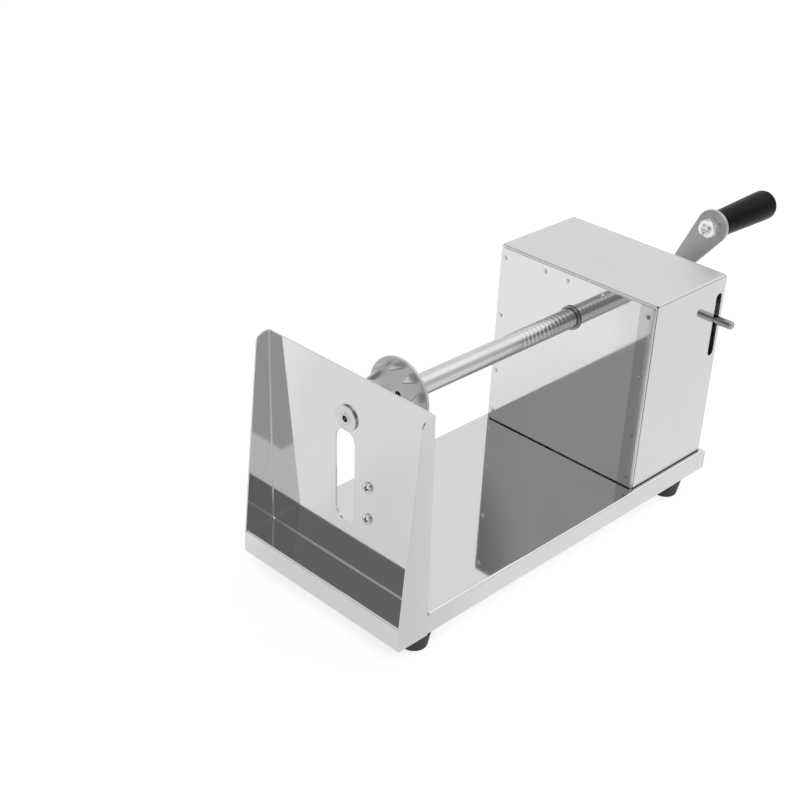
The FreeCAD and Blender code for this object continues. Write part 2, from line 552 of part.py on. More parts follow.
# Grip: a tapered sleeve that turns freely on its bolt, whose head lies in the far end.
grip = at_grip("grip", "arm_along + arm_thick + 1.3")
turn(grip, ("0", "bolt_radius + run_gap"), ("0", "grip_near_radius - 0.8"), ("0.8", "grip_near_radius"),
     ("grip_length - 7", "grip_far_radius"), ("grip_length", "grip_far_radius"), ("grip_length", "grip_well"),
     ("grip_length - 9.2", "grip_well"), ("grip_length - 9.2", "bolt_radius + run_gap"))
soften(grip, "3.4", lambda e: near(e.BoundBox.YLength, "2 * grip_far_radius")
       and near(e.BoundBox.XMax, "grip_length"))

# Release lever: a folded plate on a pivot, with the half nut on its face, a tab over the
# return spring and a tab that carries the pin. Pressing the pin down drops the half nut.
lever = piece("lever_plate", "lever_along")
add(lever, "YZ", "0", "lever_thick",
    outline(("pivot_across + 8", "pivot_height - 8"), ("pivot_across + 8", "pivot_height + 8"),
            ("pivot_across - 8", "pivot_height + 8"), ("30", "lever_high"), ("-20", "lever_high"),
            ("-38", "pin_height + 6.5"), ("-pin_tab_across", "pin_height + 6.5"),
            ("-pin_tab_across", "pin_height - 6.5"), ("-50", "pin_height - 6.5"),
            ("-spring_across - 8", "lever_low"), ("30", "lever_low"),
            ("pivot_across - 8", "pivot_height - 8")))
add(lever, "XZ", "-pin_tab_across", "lever_thick",
    rectangle("lever_thick", "pin_height - 6.5", "12.5", "pin_height + 6.5"))
add(lever, "XY", "lever_low", "lever_thick",
    rectangle("-11", "-spring_across - 8", "0", "8 - spring_across"))
cut(lever, "YZ", "0", "lever_thick", circle("pivot_across", "pivot_height", "pivot_radius + run_gap"),
    *[circle(y, "nut_screw_height", "screw_hole") for y in both_sides("nut_screw_across")])
cut(lever, "XZ", "-pin_tab_across", "lever_thick",
    circle("pin_slot_along - lever_along", "pin_height", "pin_radius"))
soften(lever, "4", lambda e: runs(e, "X") and e.BoundBox.YMin > size_of("pivot_across"))

# Half nut: a brass block whose trough holds the lower half of the shaft's thread.
half_nut = piece("half_nut", "lever_along - nut_length")
add(half_nut, "YZ", "0", "nut_length",
    rectangle("-nut_half_width", "lever_low + 1", "nut_half_width", "axis_height - 1"))
cut(half_nut, "YZ", "0", "nut_length", circle("0", "axis_height", "shaft_radius + nut_gap"))
cut(half_nut, "YZ", "nut_length - 10", "10",
    *[circle(y, "nut_screw_height", "screw_shank") for y in both_sides("nut_screw_across")])
nut_screws = piece("nut_screws", "lever_along + lever_thick")
add(nut_screws, "YZ", "0", "screw_head_rise",
    *[circle(y, "nut_screw_height", "screw_head") for y in both_sides("nut_screw_across")])
soften(nut_screws, "1", lambda e: near(e.BoundBox.XMin, "screw_head_rise"), "Chamfer")
add(nut_screws, "YZ", "-12.5", "12.5",
    *[circle(y, "nut_screw_height", "screw_shank") for y in both_sides("nut_screw_across")])

pin = piece("release_pin", "pin_slot_along", "0", "pin_height")
add(pin, "XZ", "-pin_reach", "pin_reach - pin_tab_across + 7.4", circle("0", "0", "pin_radius"))
soften(pin, "2", lambda e: near(e.BoundBox.YMin, "-pin_reach"))
pin_nut = piece("pin_nuts", "pin_slot_along", "0", "pin_height")
add(pin_nut, "XZ", "lever_thick - pin_tab_across", "nut_thick", hexagon("0", "0", "pin_nut_corner"))
add(pin_nut, "XZ", "-pin_tab_across - nut_thick", "nut_thick", hexagon("0", "0", "pin_nut_corner"))
cut(pin_nut, "XZ", "-pin_tab_across - 4", "11", circle("0", "0", "pin_radius"))

# Pivot: a shouldered screw from inside, through the lever and a spacer to the back panel.
pivot_screw = piece("pivot_screw", "casing_along + casing_depth", "pivot_across", "pivot_height")
HEAD = "lever_along - casing_along - casing_depth - 0.3"
turn(pivot_screw, (HEAD + " - 3", "0"), (HEAD + " - 3", "5.5"), (HEAD, "5.5"), (HEAD, "pivot_radius"),
     ("0", "pivot_radius"), ("0", "pivot_thread"),
     ("sheet_thick + pivot_nut_thick + 0.2", "pivot_thread"), ("sheet_thick + pivot_nut_thick + 0.2", "0"))
pivot_spacer = piece("pivot_spacer", "lever_along + lever_thick + 0.3", "pivot_across", "pivot_height")
add(pivot_spacer, "YZ", "0", "casing_along + casing_depth - lever_along - lever_thick - 0.3",
    circle("0", "0", "pivot_radius + 1.5"), circle("0", "0", "pivot_radius"))
pivot_nut = piece("pivot_nut", "casing_along + casing_depth + sheet_thick", "pivot_across", "pivot_height")
add(pivot_nut, "YZ", "0", "pivot_nut_thick", hexagon("0", "0", "foot_nut_corner"))
cut(pivot_nut, "YZ", "0", "pivot_nut_thick", circle("0", "0", "pivot_thread"))

# Return spring under the lever, standing on a shelf that is riveted to the back panel.
shelf = piece("spring_shelf", "casing_along + casing_depth")
add(shelf, "XZ", "-spring_across - 8", "16",
    outline(("0", "shelf_height - 22"), ("0", "shelf_height"), ("-28", "shelf_height"),
            ("-28", "shelf_height - shelf_thick"), ("-shelf_thick", "shelf_height - shelf_thick"),
            ("-shelf_thick", "shelf_height - 22")))
cut(shelf, "YZ", "-shelf_thick", "shelf_thick", *[circle(y, z, "rivet_shank") for y, z in SHELF_RIVETS])
spring = piece("return_spring", "spring_along", "-spring_across", "shelf_height + 0.9")
coil_sketch = sketch_on(spring, "XZ", "0")
hexagon("spring_radius", "0", "spring_wire")(coil_sketch)
coil = spring.newObject("PartDesign::AdditiveHelix", "return_spring_coil")
coil.Profile = coil_sketch
coil.ReferenceAxis = (coil_sketch, ["V_Axis"])
coil.Mode = 0
coil.setExpression("Pitch", bound("spring_pitch"))
coil.setExpression("Height", bound("spring_top - shelf_height - 1.8"))
spring.Tip = coil

doc.recompute()
broken = [o.Label for o in doc.Objects if {"Invalid", "Error"} & set(o.State)]
broken += [b.Label for b in parts if b.Shape.isNull() or not b.Shape.isValid()]
if broken:
    raise RuntimeError("not built: " + ", ".join(broken))

os.makedirs("parts", exist_ok=True)
for body in parts:
    solids = body.Shape.Solids
    whole = body.Shape if len(solids) != 1 else solids[0]
    whole.exportStep("parts/%s.step" % body.Label)
    box = whole.BoundBox
    print("%-24s %2d solids %9.1f mm3  x %.1f %.1f  y %.1f %.1f  z %.1f %.1f" % (
        body.Label, len(solids), whole.Volume, box.XMin, box.XMax, box.YMin, box.YMax, box.ZMin, box.ZMax))
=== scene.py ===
import json
import math

import bmesh
import bpy
from mathutils import Matrix, Vector


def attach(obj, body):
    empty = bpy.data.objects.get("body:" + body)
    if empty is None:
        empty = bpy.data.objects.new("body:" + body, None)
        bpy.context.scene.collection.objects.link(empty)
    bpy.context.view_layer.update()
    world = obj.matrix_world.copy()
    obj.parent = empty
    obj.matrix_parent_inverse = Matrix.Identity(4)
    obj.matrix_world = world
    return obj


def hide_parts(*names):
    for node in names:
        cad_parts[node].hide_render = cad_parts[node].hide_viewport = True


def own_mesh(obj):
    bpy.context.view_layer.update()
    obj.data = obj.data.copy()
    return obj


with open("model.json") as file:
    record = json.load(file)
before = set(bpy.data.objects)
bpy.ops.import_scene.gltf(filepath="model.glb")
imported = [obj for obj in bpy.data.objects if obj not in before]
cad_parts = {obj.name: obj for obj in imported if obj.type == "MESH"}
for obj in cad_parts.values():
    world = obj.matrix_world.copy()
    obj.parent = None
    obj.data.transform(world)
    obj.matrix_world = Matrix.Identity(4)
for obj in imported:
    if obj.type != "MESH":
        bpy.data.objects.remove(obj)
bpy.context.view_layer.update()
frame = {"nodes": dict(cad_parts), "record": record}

MM = 0.001
X_AXIS, Y_AXIS, Z_AXIS = Vector((1, 0, 0)), Vector((0, 1, 0)), Vector((0, 0, 1))

# Millimetres as in the part's own sheet: along from the base's front face, across from the
# shaft's upright plane, height from the deck.
ORIGIN = Vector((206.5, -5.5, -27.5))
SHEET_THICK = 1.2
BASE_LENGTH, BASE_WIDTH, FLOOR_HEIGHT = 312.0, 140.0, -27.5
PLATE_ALONG, PLATE_LEAN = 23.2, math.atan(4.1 / 137.8)
CASING_FRONT, CASING_BACK, CASING_WIDTH, CASING_HEIGHT = 229.0, 309.0, 133.6, 137.9
PANEL_FRONT, PANEL_BACK = CASING_FRONT - SHEET_THICK, CASING_BACK + SHEET_THICK
AXIS_HEIGHT, SHAFT_RADIUS, SHAFT_BORE, PITCH = 106.0, 7.0, 2.4, 4.0
ARM_ALONG, ARM_THICK, ARM_REACH = 343.5, 3.0, 52.0
ARM_ANGLE = math.radians(31.6)
GRIP_ACROSS = -ARM_REACH * math.sin(ARM_ANGLE)
GRIP_HEIGHT = AXIS_HEIGHT + ARM_REACH * math.cos(ARM_ANGLE)
FEET = {"front_right": (24.4, -59.2), "front_left": (24.4, 59.2),
        "back_right": (282.4, -59.2), "back_left": (282.4, 59.2)}


def spot(along, across, height):
    """A place on the machine, in the frame's own millimetres."""
    return Vector((along, across, height)) - ORIGIN


def facing(along, across, height, direction):
    """A placement whose own X axis points a given way from a place on the machine."""
    turn = X_AXIS.rotation_difference(direction).to_matrix().to_4x4()
    return Matrix.Translation(spot(along, across, height)) @ turn


def on_plate(across, up, behind=0.0):
    """A place on the blade stand's leaning plate, measured along it from the deck."""
    return (PLATE_ALONG + behind * math.cos(PLATE_LEAN) - up * math.sin(PLATE_LEAN), across,
            up * math.cos(PLATE_LEAN) + behind * math.sin(PLATE_LEAN))


PLATE_BACK = Vector((math.cos(PLATE_LEAN), 0, math.sin(PLATE_LEAN)))


# Mesh helpers

def finish_piece(name, bm, body, material, stands_for, sharp=35):
    """Make a bmesh in millimetres a piece that rides on a body."""
    bmesh.ops.transform(bm, matrix=Matrix.Scale(MM, 4), verts=bm.verts)
    bmesh.ops.remove_doubles(bm, verts=bm.verts, dist=1e-7)
    bmesh.ops.recalc_face_normals(bm, faces=bm.faces)
    mesh = bpy.data.meshes.new(name)
    bm.to_mesh(mesh)
    bm.free()
    mesh.shade_smooth()
    mesh.set_sharp_from_angle(angle=math.radians(sharp))
    piece = bpy.data.objects.new(name, mesh)
    bpy.context.scene.collection.objects.link(piece)
    mesh.materials.append(material)
    piece.modifiers.new("even_shading", "WEIGHTED_NORMAL").keep_sharp = True
    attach(piece, body)
    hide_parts(*stands_for)
    return piece


def new_verts(made):
    return [g for g in made if isinstance(g, bmesh.types.BMVert)]


def turned(bm, profile, matrix, segments):
    """Spin an outline of (along, radius) points about the placement's own X axis."""
    before = set(bm.verts)
    verts = [bm.verts.new((along, 0, radius)) for along, radius in profile]
    edges = [bm.edges.new(pair) for pair in zip(verts, verts[1:])]
    bmesh.ops.spin(bm, geom=verts + edges, cent=(0, 0, 0), axis=X_AXIS, angle=2 * math.pi,
                   steps=segments, use_merge=True, use_duplicate=False)
    made = [v for v in bm.verts if v not in before]
    bmesh.ops.remove_doubles(bm, verts=made, dist=1e-4)
    made = [v for v in bm.verts if v not in before]
    bmesh.ops.transform(bm, matrix=matrix, verts=made)
    return made


def rounded(profile, radius, steps=4):
    """Round the inner corners of an outline of (along, radius) points."""
    line = [profile[0]]
    for before, corner, after in zip(profile, profile[1:], profile[2:]):
        middle = Vector(corner)
        into = Vector(before) - middle
        out = Vector(after) - middle
        reach = min(radius, into.length * 0.45, out.length * 0.45)
        start = middle + into.normalized() * reach
        end = middle + out.normalized() * reach
        for step in range(steps + 1):
            t = step / steps
            line.append(tuple(start.lerp(middle, t).lerp(middle.lerp(end, t), t)))
    line.append(profile[-1])
    return line


def ring_outline(start, end, bore, radius):
    """The closed section of a washer or sleeve, from the middle of its bore."""
    middle = ((start + end) / 2, bore)
    return [middle, (end, bore), (end, radius), (start, radius), (start, bore), middle]


def even_steps(start, end, radius, step):
    """Points along a rod's wall, close enough together to take a thread."""
    count = max(2, round((end - start) / step))
    return [(start + (end - start) * i / count, radius) for i in range(count + 1)]


def cut_thread(verts, matrix, start, end, radius, pitch, depth, groove, run_out=1.0):
    """Sink a right-hand helical groove into a rod's verts, with a soft run-out."""
    back = matrix.inverted()
    for vert in verts:
        local = back @ vert.co
        across = math.hypot(local.y, local.z)
        if across < radius - 1e-3 or not start < local.x < end:
            continue
        phase = (local.x / pitch - math.atan2(local.z, local.y) / (2 * math.pi)) % 1.0
        into = max(0.0, 1 - abs(phase - 0.5) / (groove / 2))
        into = into * into * (3 - 2 * into)
        ease = min(1.0, (local.x - start) / (run_out * pitch), (end - local.x) / (run_out * pitch))
        factor = (across - depth * into * max(0.0, ease)) / across
        vert.co = matrix @ Vector((local.x, local.y * factor, local.z * factor))


def threaded_rod(bm, matrix, start, end, radius, pitch):
    """A plain shank with a fine thread over its far part and a chamfered end."""
    depth = pitch * 0.45
    near = start + (end - start) * 0.35
    profile = [(start, 0.0)] + even_steps(start, end - depth, radius, pitch / 10)
    profile += [(end, radius - depth), (end, 0.0)]
    verts = turned(bm, profile, matrix, 24)
    cut_thread(verts, matrix, near, end - depth, radius, pitch, depth, groove=0.8)
    return verts


def hexagon_nut(bm, matrix, thick, corner, bore, turn_by=0.0, cuts=5):
    """A hexagon nut along the placement's own X axis, with turned down corners."""
    flat = corner * math.cos(math.pi / 6)
    outer = bmesh.ops.create_circle(bm, segments=6 * cuts, radius=corner)["verts"]
    for vert in outer:
        past = (math.atan2(vert.co.y, vert.co.x) - math.pi / 2) % (math.pi / 3) - math.pi / 6
        vert.co *= flat / math.cos(past) / corner
    inner = bmesh.ops.create_circle(bm, segments=6 * cuts, radius=bore)["verts"]
    edges = list({e for v in outer + inner for e in v.link_edges})
    faces = bmesh.ops.bridge_loops(bm, edges=edges)["faces"]
    top = new_verts(bmesh.ops.extrude_face_region(bm, geom=faces)["geom"])
    bmesh.ops.translate(bm, vec=(0, 0, thick), verts=top)
    nut = outer + inner + top
    for vert in nut:
        drop = max(0.0, math.hypot(vert.co.x, vert.co.y) - flat * 1.01) * 0.62
        vert.co.z += drop if vert.co.z < thick / 2 else -drop
    turn = Matrix.Rotation(math.pi / 2, 4, "Y") @ Matrix.Rotation(turn_by, 4, "Z")
    bmesh.ops.transform(bm, matrix=matrix @ turn, verts=nut)
    return nut


def cross_recess(across, up, radius):
    """How far into a screw's cross recess a point lies, from 0 to 1."""
    wide, long = sorted((abs(across), abs(up)))
    side = (radius * 0.2 - wide) / (radius * 0.1)
    end = (radius * 0.66 - long) / (radius * 0.3)
    return max(0.0, min(1.0, side, end))


def hexagon_socket(across, up, radius):
    """Whether a point lies in a hexagon socket, from 0 to 1."""
    reach = max(abs(across * math.cos(a) + up * math.sin(a)) for a in (0, math.pi / 3, 2 * math.pi / 3))
    return max(0.0, min(1.0, (radius * 0.46 - reach) / (radius * 0.08)))


def screw_head(bm, matrix, radius, rise, recess=cross_recess, fall=2.2, depth=0.8, grid=44):
    """A domed head with a recess, its top on the placement's own +X side."""
    face = bmesh.ops.create_grid(bm, x_segments=grid, y_segments=grid, size=1)["verts"]
    for vert in face:
        u, v = vert.co.x, vert.co.y
        across = radius * u * math.sqrt(1 - v * v / 2)
        up = radius * v * math.sqrt(1 - u * u / 2)
        reach = min(1.0, math.hypot(across, up) / radius)
        dome = rise * (0.35 + 0.65 * math.sqrt(1 - reach ** fall))
        vert.co = (dome - rise * depth * recess(across, up, radius), across, up)
    rim = list({e for v in face for e in v.link_edges if e.is_boundary})
    low = new_verts(bmesh.ops.extrude_edge_only(bm, edges=rim)["geom"])
    for vert in low:
        vert.co.x = 0.0
    below = list({e for v in low for e in v.link_edges if e.is_boundary})
    bmesh.ops.holes_fill(bm, edges=below, sides=0)
    head = face + low
    bmesh.ops.transform(bm, matrix=matrix, verts=head)
    return head


def softened(node_name, name, body, material, width, segments=2):
    """A node's own shape with its sharp edges rounded over."""
    bm = bmesh.new()
    bm.from_mesh(frame["nodes"][node_name].data)
    bmesh.ops.transform(bm, matrix=Matrix.Scale(1 / MM, 4), verts=bm.verts)
    bmesh.ops.remove_doubles(bm, verts=bm.verts, dist=1e-3)
    bmesh.ops.dissolve_limit(bm, angle_limit=math.radians(1), verts=bm.verts, edges=bm.edges)
    sharp = [e for e in bm.edges if len(e.link_faces) == 2 and e.calc_face_angle() > math.radians(35)]
    bmesh.ops.bevel(bm, geom=sharp, offset=width, offset_type="OFFSET", segments=segments, profile=0.5,
                    affect="EDGES", material=-1, clamp_overlap=True)
    return finish_piece(name, bm, body, material, [node_name], sharp=40)


# Effects shared by the materials

def new_group(name, inputs, outputs):
    group = bpy.data.node_groups.new(name, "ShaderNodeTree")
    for label, kind, default in inputs:
        group.interface.new_socket(label, in_out="INPUT", socket_type=kind).default_value = default
    for label, kind in outputs:
        group.interface.new_socket(label, in_out="OUTPUT", socket_type=kind)
    return group, group.nodes.new("NodeGroupInput"), group.nodes.new("NodeGroupOutput")


def node(tree, kind, **settings):
    made = tree.nodes.new(kind)
    for name, value in settings.items():
        setattr(made, name, value)
    return made


def set_in(made, **values):
    for name, value in values.items():
        made.inputs[name.replace("_", " ")].default_value = value
    return made


def feed(tree, socket, value):
    """Link a socket to an output, or give it a plain value."""
    if isinstance(value, bpy.types.NodeSocket):
        tree.links.new(value, socket)
    else:
        socket.default_value = value


def calc(tree, operation, *values, clamp=False):
    made = node(tree, "ShaderNodeMath", operation=operation, use_clamp=clamp)
    for socket, value in zip(made.inputs, values):
        feed(tree, socket, value)
    return made.outputs[0]


def vector_calc(tree, operation, *values):
    made = node(tree, "ShaderNodeVectorMath", operation=operation)
    for socket, value in zip(made.inputs, values):
        feed(tree, socket, value)
    return made.outputs["Value" if operation == "DOT_PRODUCT" else "Vector"]


def remap(tree, value, low, high, to_low=0.0, to_high=1.0, smooth=False):
    made = node(tree, "ShaderNodeMapRange", clamp=True)
    if smooth:
        made.interpolation_type = "SMOOTHSTEP"
    tree.links.new(value, made.inputs["Value"])
    for label, number in (("From Min", low), ("From Max", high), ("To Min", to_low), ("To Max", to_high)):
        feed(tree, made.inputs[label], number)
    return made.outputs["Result"]


def mix_colour(tree, factor, first, second):
    made = node(tree, "ShaderNodeMix", data_type="RGBA")
    feed(tree, made.inputs["Factor"], factor)
    for label, value in (("A", first), ("B", second)):
        socket = [s for s in made.inputs if s.name == label and s.type == "RGBA"][0]
        feed(tree, socket, value if isinstance(value, bpy.types.NodeSocket) else (*value, 1.0))
    return [s for s in made.outputs if s.type == "RGBA"][0]


def stretched_noise(tree, coords, stretch, scale, detail, rough):
    mapping = node(tree, "ShaderNodeMapping")
    mapping.inputs["Scale"].default_value = stretch
    tree.links.new(coords, mapping.inputs["Vector"])
    noise = set_in(node(tree, "ShaderNodeTexNoise"), Scale=scale, Detail=detail, Roughness=rough)
    tree.links.new(mapping.outputs[0], noise.inputs["Vector"])
    return noise.outputs["Fac"]


def object_place(tree):
    """The object's own coordinates, whole and split by axis."""
    coords = tree.nodes.new("ShaderNodeTexCoord").outputs["Object"]
    split = node(tree, "ShaderNodeSeparateXYZ")
    tree.links.new(coords, split.inputs[0])
    return coords, split.outputs


def scaled_place(group, entry, label):
    coords = group.nodes.new("ShaderNodeTexCoord").outputs["Object"]
    scaled = node(group, "ShaderNodeVectorMath", operation="SCALE")
    group.links.new(coords, scaled.inputs[0])
    group.links.new(entry.outputs[label], scaled.inputs["Scale"])
    return scaled.outputs[0]


def build_hairlines():
    """Fine polishing lines along X, with stray scratches."""
    group, entry, leave = new_group("hairlines", [("Fineness", "NodeSocketFloat", 1.0)],
                                    [("Lines", "NodeSocketFloat"), ("Scratches", "NodeSocketFloat")])
    place = scaled_place(group, entry, "Fineness")
    lines = stretched_noise(group, place, (14, 900, 900), 1.0, 3.0, 0.6)
    stray = stretched_noise(group, place, (60, 420, 700), 1.0, 2.0, 0.5)
    group.links.new(lines, leave.inputs["Lines"])
    group.links.new(remap(group, stray, 0.69, 0.74), leave.inputs["Scratches"])
    return group


def build_handling():
    """Broad smears left by hands and wiping, and small specks."""
    group, entry, leave = new_group("handling", [("Size", "NodeSocketFloat", 1.0)],
                                    [("Smears", "NodeSocketFloat"), ("Specks", "NodeSocketFloat")])
    place = scaled_place(group, entry, "Size")
    broad = stretched_noise(group, place, (1, 1, 1), 13.0, 5.0, 0.6)
    specks = stretched_noise(group, place, (1, 1, 1), 340.0, 2.0, 0.4)
    group.links.new(remap(group, broad, 0.45, 0.72), leave.inputs["Smears"])
    group.links.new(remap(group, specks, 0.66, 0.74), leave.inputs["Specks"])
    return group


def build_edges():
    """Where a surface meets an edge: a mask and a softened normal."""
    group, entry, leave = new_group("eased_edges", [("Width", "NodeSocketFloat", 0.0004)],
                                    [("Edge", "NodeSocketFloat"), ("Normal", "NodeSocketVector")])
    bevel = node(group, "ShaderNodeBevel", samples=6)
    group.links.new(entry.outputs["Width"], bevel.inputs["Radius"])
    plain = node(group, "ShaderNodeNewGeometry")
    dot = vector_calc(group, "DOT_PRODUCT", bevel.outputs[0], plain.outputs["Normal"])
    group.links.new(remap(group, dot, 0.995, 0.85), leave.inputs["Edge"])
    group.links.new(bevel.outputs[0], leave.inputs["Normal"])
    return group


def build_crevice_shade():
    """Painted shade, with some grime, in narrow gaps where pieces meet or fold under each other."""
    group, entry, leave = new_group("painted_crevice_shade", [("Reach", "NodeSocketFloat", 0.0016)],
                                    [("Gap", "NodeSocketFloat")])
    shade = node(group, "ShaderNodeAmbientOcclusion", samples=8)
    group.links.new(entry.outputs["Reach"], shade.inputs["Distance"])
    group.links.new(remap(group, shade.outputs["AO"], 0.62, 0.22, smooth=True), leave.inputs["Gap"])
    return group


def build_fold_shade():
    """Painted shade along the folds of a box: upright ones, and level ones, as two masks."""
    group, entry, leave = new_group(
        "fold_shade_masks", [("Centre", "NodeSocketVector", (0, 0, 0)), ("Half", "NodeSocketVector", (1, 1, 1)),
                       ("Bend", "NodeSocketFloat", 0.0016)],
        [("Upright", "NodeSocketFloat"), ("Level", "NodeSocketFloat")])
    coords = group.nodes.new("ShaderNodeTexCoord").outputs["Object"]
    away = vector_calc(group, "ABSOLUTE", vector_calc(group, "SUBTRACT", coords, entry.outputs["Centre"]))
    inside = vector_calc(group, "SUBTRACT", away, entry.outputs["Half"])
    split = node(group, "ShaderNodeSeparateXYZ")
    group.links.new(inside, split.inputs[0])
    x, y, z = (calc(group, "ADD", split.outputs[axis], entry.outputs["Bend"]) for axis in "XYZ")
    strength = calc(group, "MULTIPLY", entry.outputs["Bend"], 0.55)
    upright = calc(group, "DIVIDE", calc(group, "MINIMUM", x, y), strength)
    level = calc(group, "DIVIDE", calc(group, "MINIMUM", z, calc(group, "MAXIMUM", x, y)), strength)
    group.links.new(remap(group, upright, 0.0, 1.0, smooth=True), leave.inputs["Upright"])
    group.links.new(remap(group, level, 0.0, 1.0, smooth=True), leave.inputs["Level"])
    return group


HAIRLINES = build_hairlines()
HANDLING = build_handling()
EASED_EDGES = build_edges()
CREVICE_SHADE = build_crevice_shade()
FOLD_SHADE_MASKS = build_fold_shade()


# metres, apart from the roughness that bare cut metal has on top of its sheet's
METAL_EDGE, MOULDED_EDGE, CREVICE_REACH = 0.0004, 0.0008, 0.0016
HAIRLINE_DEPTH, GRAIN_DEPTH = 0.00002, 0.0001
BRIGHT_ROUGHNESS = 0.35
# two colours painted in as shade: in gaps, with some grime, and along folds
PAINTED_SHADE_AND_GRIME, FOLD_SHADE = (0.012, 0.012, 0.013), (0.02, 0.02, 0.02)


def use(tree, group, **inputs):
    return set_in(node(tree, "ShaderNodeGroup", node_tree=group), **inputs)


def new_material(name):
    material = bpy.data.materials.new(name)
    material.use_nodes = True
    return material, material.node_tree, material.node_tree.nodes["Principled BSDF"]


def shade_box_folds(tree, base, folds):
    """Paint shade along the folds of a box into a metal's colour."""
    low, high, bend, upright, level = folds
    half = (high - low) * 0.5 * MM
    marks = use(tree, FOLD_SHADE_MASKS, Centre=(low + high) * 0.5 * MM, Half=half, Bend=bend * MM)
    for label, strength in (("Upright", upright), ("Level", level)):
        base = mix_colour(tree, calc(tree, "MULTIPLY", marks.outputs[label], strength), base, FOLD_SHADE)
    return base


def away_from_joint(tree, along, height):
    """A mask that is 0 at the joint where two sheets run on as one, and 1 elsewhere."""
    axes = object_place(tree)[1]
    beside = calc(tree, "ABSOLUTE", calc(tree, "SUBTRACT", axes["X"], along * MM))
    above = calc(tree, "SUBTRACT", axes["Z"], height * MM)
    return calc(tree, "MAXIMUM", remap(tree, beside, 0.0008, 0.0014), remap(tree, above, 0.0, 0.0008))


def zone(tree, axis, start, full):
    """A mask that goes from 0 to 1 between two places along one of the object's axes, in mm."""
    return remap(tree, object_place(tree)[1][axis], start * MM, full * MM)


def painted_highlight_bands(tree, bands):
    """A mask over thin bands about a place along one axis, each past a place along X, in mm: where a
    highlight is painted.
    """
    axes = object_place(tree)[1]
    mask = 0.0
    for axis, middle, half, start in bands:
        beside = calc(tree, "ABSOLUTE", calc(tree, "SUBTRACT", axes[axis], middle * MM))
        band = remap(tree, beside, half * MM, half * 0.7 * MM)
        band = calc(tree, "MULTIPLY", band, remap(tree, axes["X"], start * MM, (start + 0.3) * MM))
        mask = calc(tree, "MAXIMUM", mask, band)
    return mask


def dark_reflection_margin(tree, across, width):
    """A mask over a panel's margin beyond a place across, where a darker reflection is painted."""
    return remap(tree, object_place(tree)[1]["Y"], (across + width) * MM, across * MM, smooth=True)


def facing_front(tree):
    """A mask over faces that look along X, such as a folded sheet's cut rims, where a highlight is painted.
    """
    split = node(tree, "ShaderNodeSeparateXYZ")
    tree.links.new(tree.nodes.new("ShaderNodeNewGeometry").outputs["Normal"], split.inputs[0])
    return remap(tree, calc(tree, "ABSOLUTE", split.outputs["X"]), 0.75, 0.9)


def metal(name, colour, dull, roughness, spread, lines, smear, edge_wear_and_glint=None, gap=0.0, gap_zone=None,
          folds=None, joint=None, margin=None, satin=None, soft_edges=0.0, bands=None, band_tone=0.95,
          rim=False):
    """Bare metal: colour and roughness vary with smears, polishing lines, edges and gaps; the colour
    carries painted shade in gaps (with some grime) and along folds, a partly painted highlight on edges,
    painted highlights on bands and rims, and a painted darker reflection over a margin.

    Places are in the frame's own millimetres. gap_zone and satin start with a zone's axis and
    ends, folds with a box's corners, and margin with its place across and its width.
    """
    material, tree, shader = new_material(name)
    shader.inputs["Metallic"].default_value = 1.0
    hair = use(tree, HAIRLINES, Fineness=1.0)
    marks = use(tree, HANDLING, Size=1.0)
    edges = use(tree, EASED_EDGES, Width=METAL_EDGE)
    edge_mask, normal = edges.outputs["Edge"], edges.outputs["Normal"]
    if joint:
        away = away_from_joint(tree, *joint)
        plain = tree.nodes.new("ShaderNodeNewGeometry").outputs["Normal"]
        blend = node(tree, "ShaderNodeMix", data_type="VECTOR")
        feed(tree, blend.inputs["Factor"], away)
        sockets = [s for s in blend.inputs if s.type == "VECTOR" and s.name in "AB"]
        feed(tree, sockets[0], plain)
        feed(tree, sockets[1], normal)
        normal = [s for s in blend.outputs if s.type == "VECTOR"][0]
        edge_mask = calc(tree, "MULTIPLY", edge_mask, away)
    base = mix_colour(tree, marks.outputs["Smears"], colour, dull)
    # edges take a colour that is partly wear and partly a painted highlight
    base = mix_colour(tree, edge_mask, base, edge_wear_and_glint or colour)
    # a painted darker reflection over a panel's margin
    if margin:
        base = mix_colour(tree, dark_reflection_margin(tree, *margin[:2]), base, (margin[2],) * 3)
    # painted shade along the box's folds
    if folds:
        base = shade_box_folds(tree, base, folds)
    # painted highlight over thin bands, or over faces that look along X such as cut rims
    painted_highlight = painted_highlight_bands(tree, bands) if bands else facing_front(tree) if rim else None
    if painted_highlight:
        base = mix_colour(tree, painted_highlight, base, (band_tone,) * 3)
    # painted shade, with some grime, darkens the colour in narrow gaps
    if gap:
        painted_gap_shade = calc(tree, "MULTIPLY", use(tree, CREVICE_SHADE, Reach=CREVICE_REACH).outputs["Gap"], gap)
        if gap_zone:
            painted_gap_shade = calc(tree, "MULTIPLY", painted_gap_shade, zone(tree, *gap_zone))
        base = mix_colour(tree, painted_gap_shade, base, PAINTED_SHADE_AND_GRIME)
    tree.links.new(base, shader.inputs["Base Color"])
    rough = calc(tree, "MULTIPLY_ADD", marks.outputs["Smears"], smear, roughness)
    rough = calc(tree, "MULTIPLY_ADD", hair.outputs["Lines"], spread, rough)
    if soft_edges:
        rough = calc(tree, "MULTIPLY_ADD", edge_mask, soft_edges, rough)
    if satin:
        rough = calc(tree, "MULTIPLY_ADD", zone(tree, *satin[:3]), satin[3], rough)
    if painted_highlight:
        rough = calc(tree, "MULTIPLY_ADD", painted_highlight, BRIGHT_ROUGHNESS, rough)
    tree.links.new(rough, shader.inputs["Roughness"])
    bump = set_in(node(tree, "ShaderNodeBump"), Strength=lines, Distance=HAIRLINE_DEPTH)
    tree.links.new(hair.outputs["Lines"], bump.inputs["Height"])
    tree.links.new(normal, bump.inputs["Normal"])
    tree.links.new(bump.outputs[0], shader.inputs["Normal"])
    return material


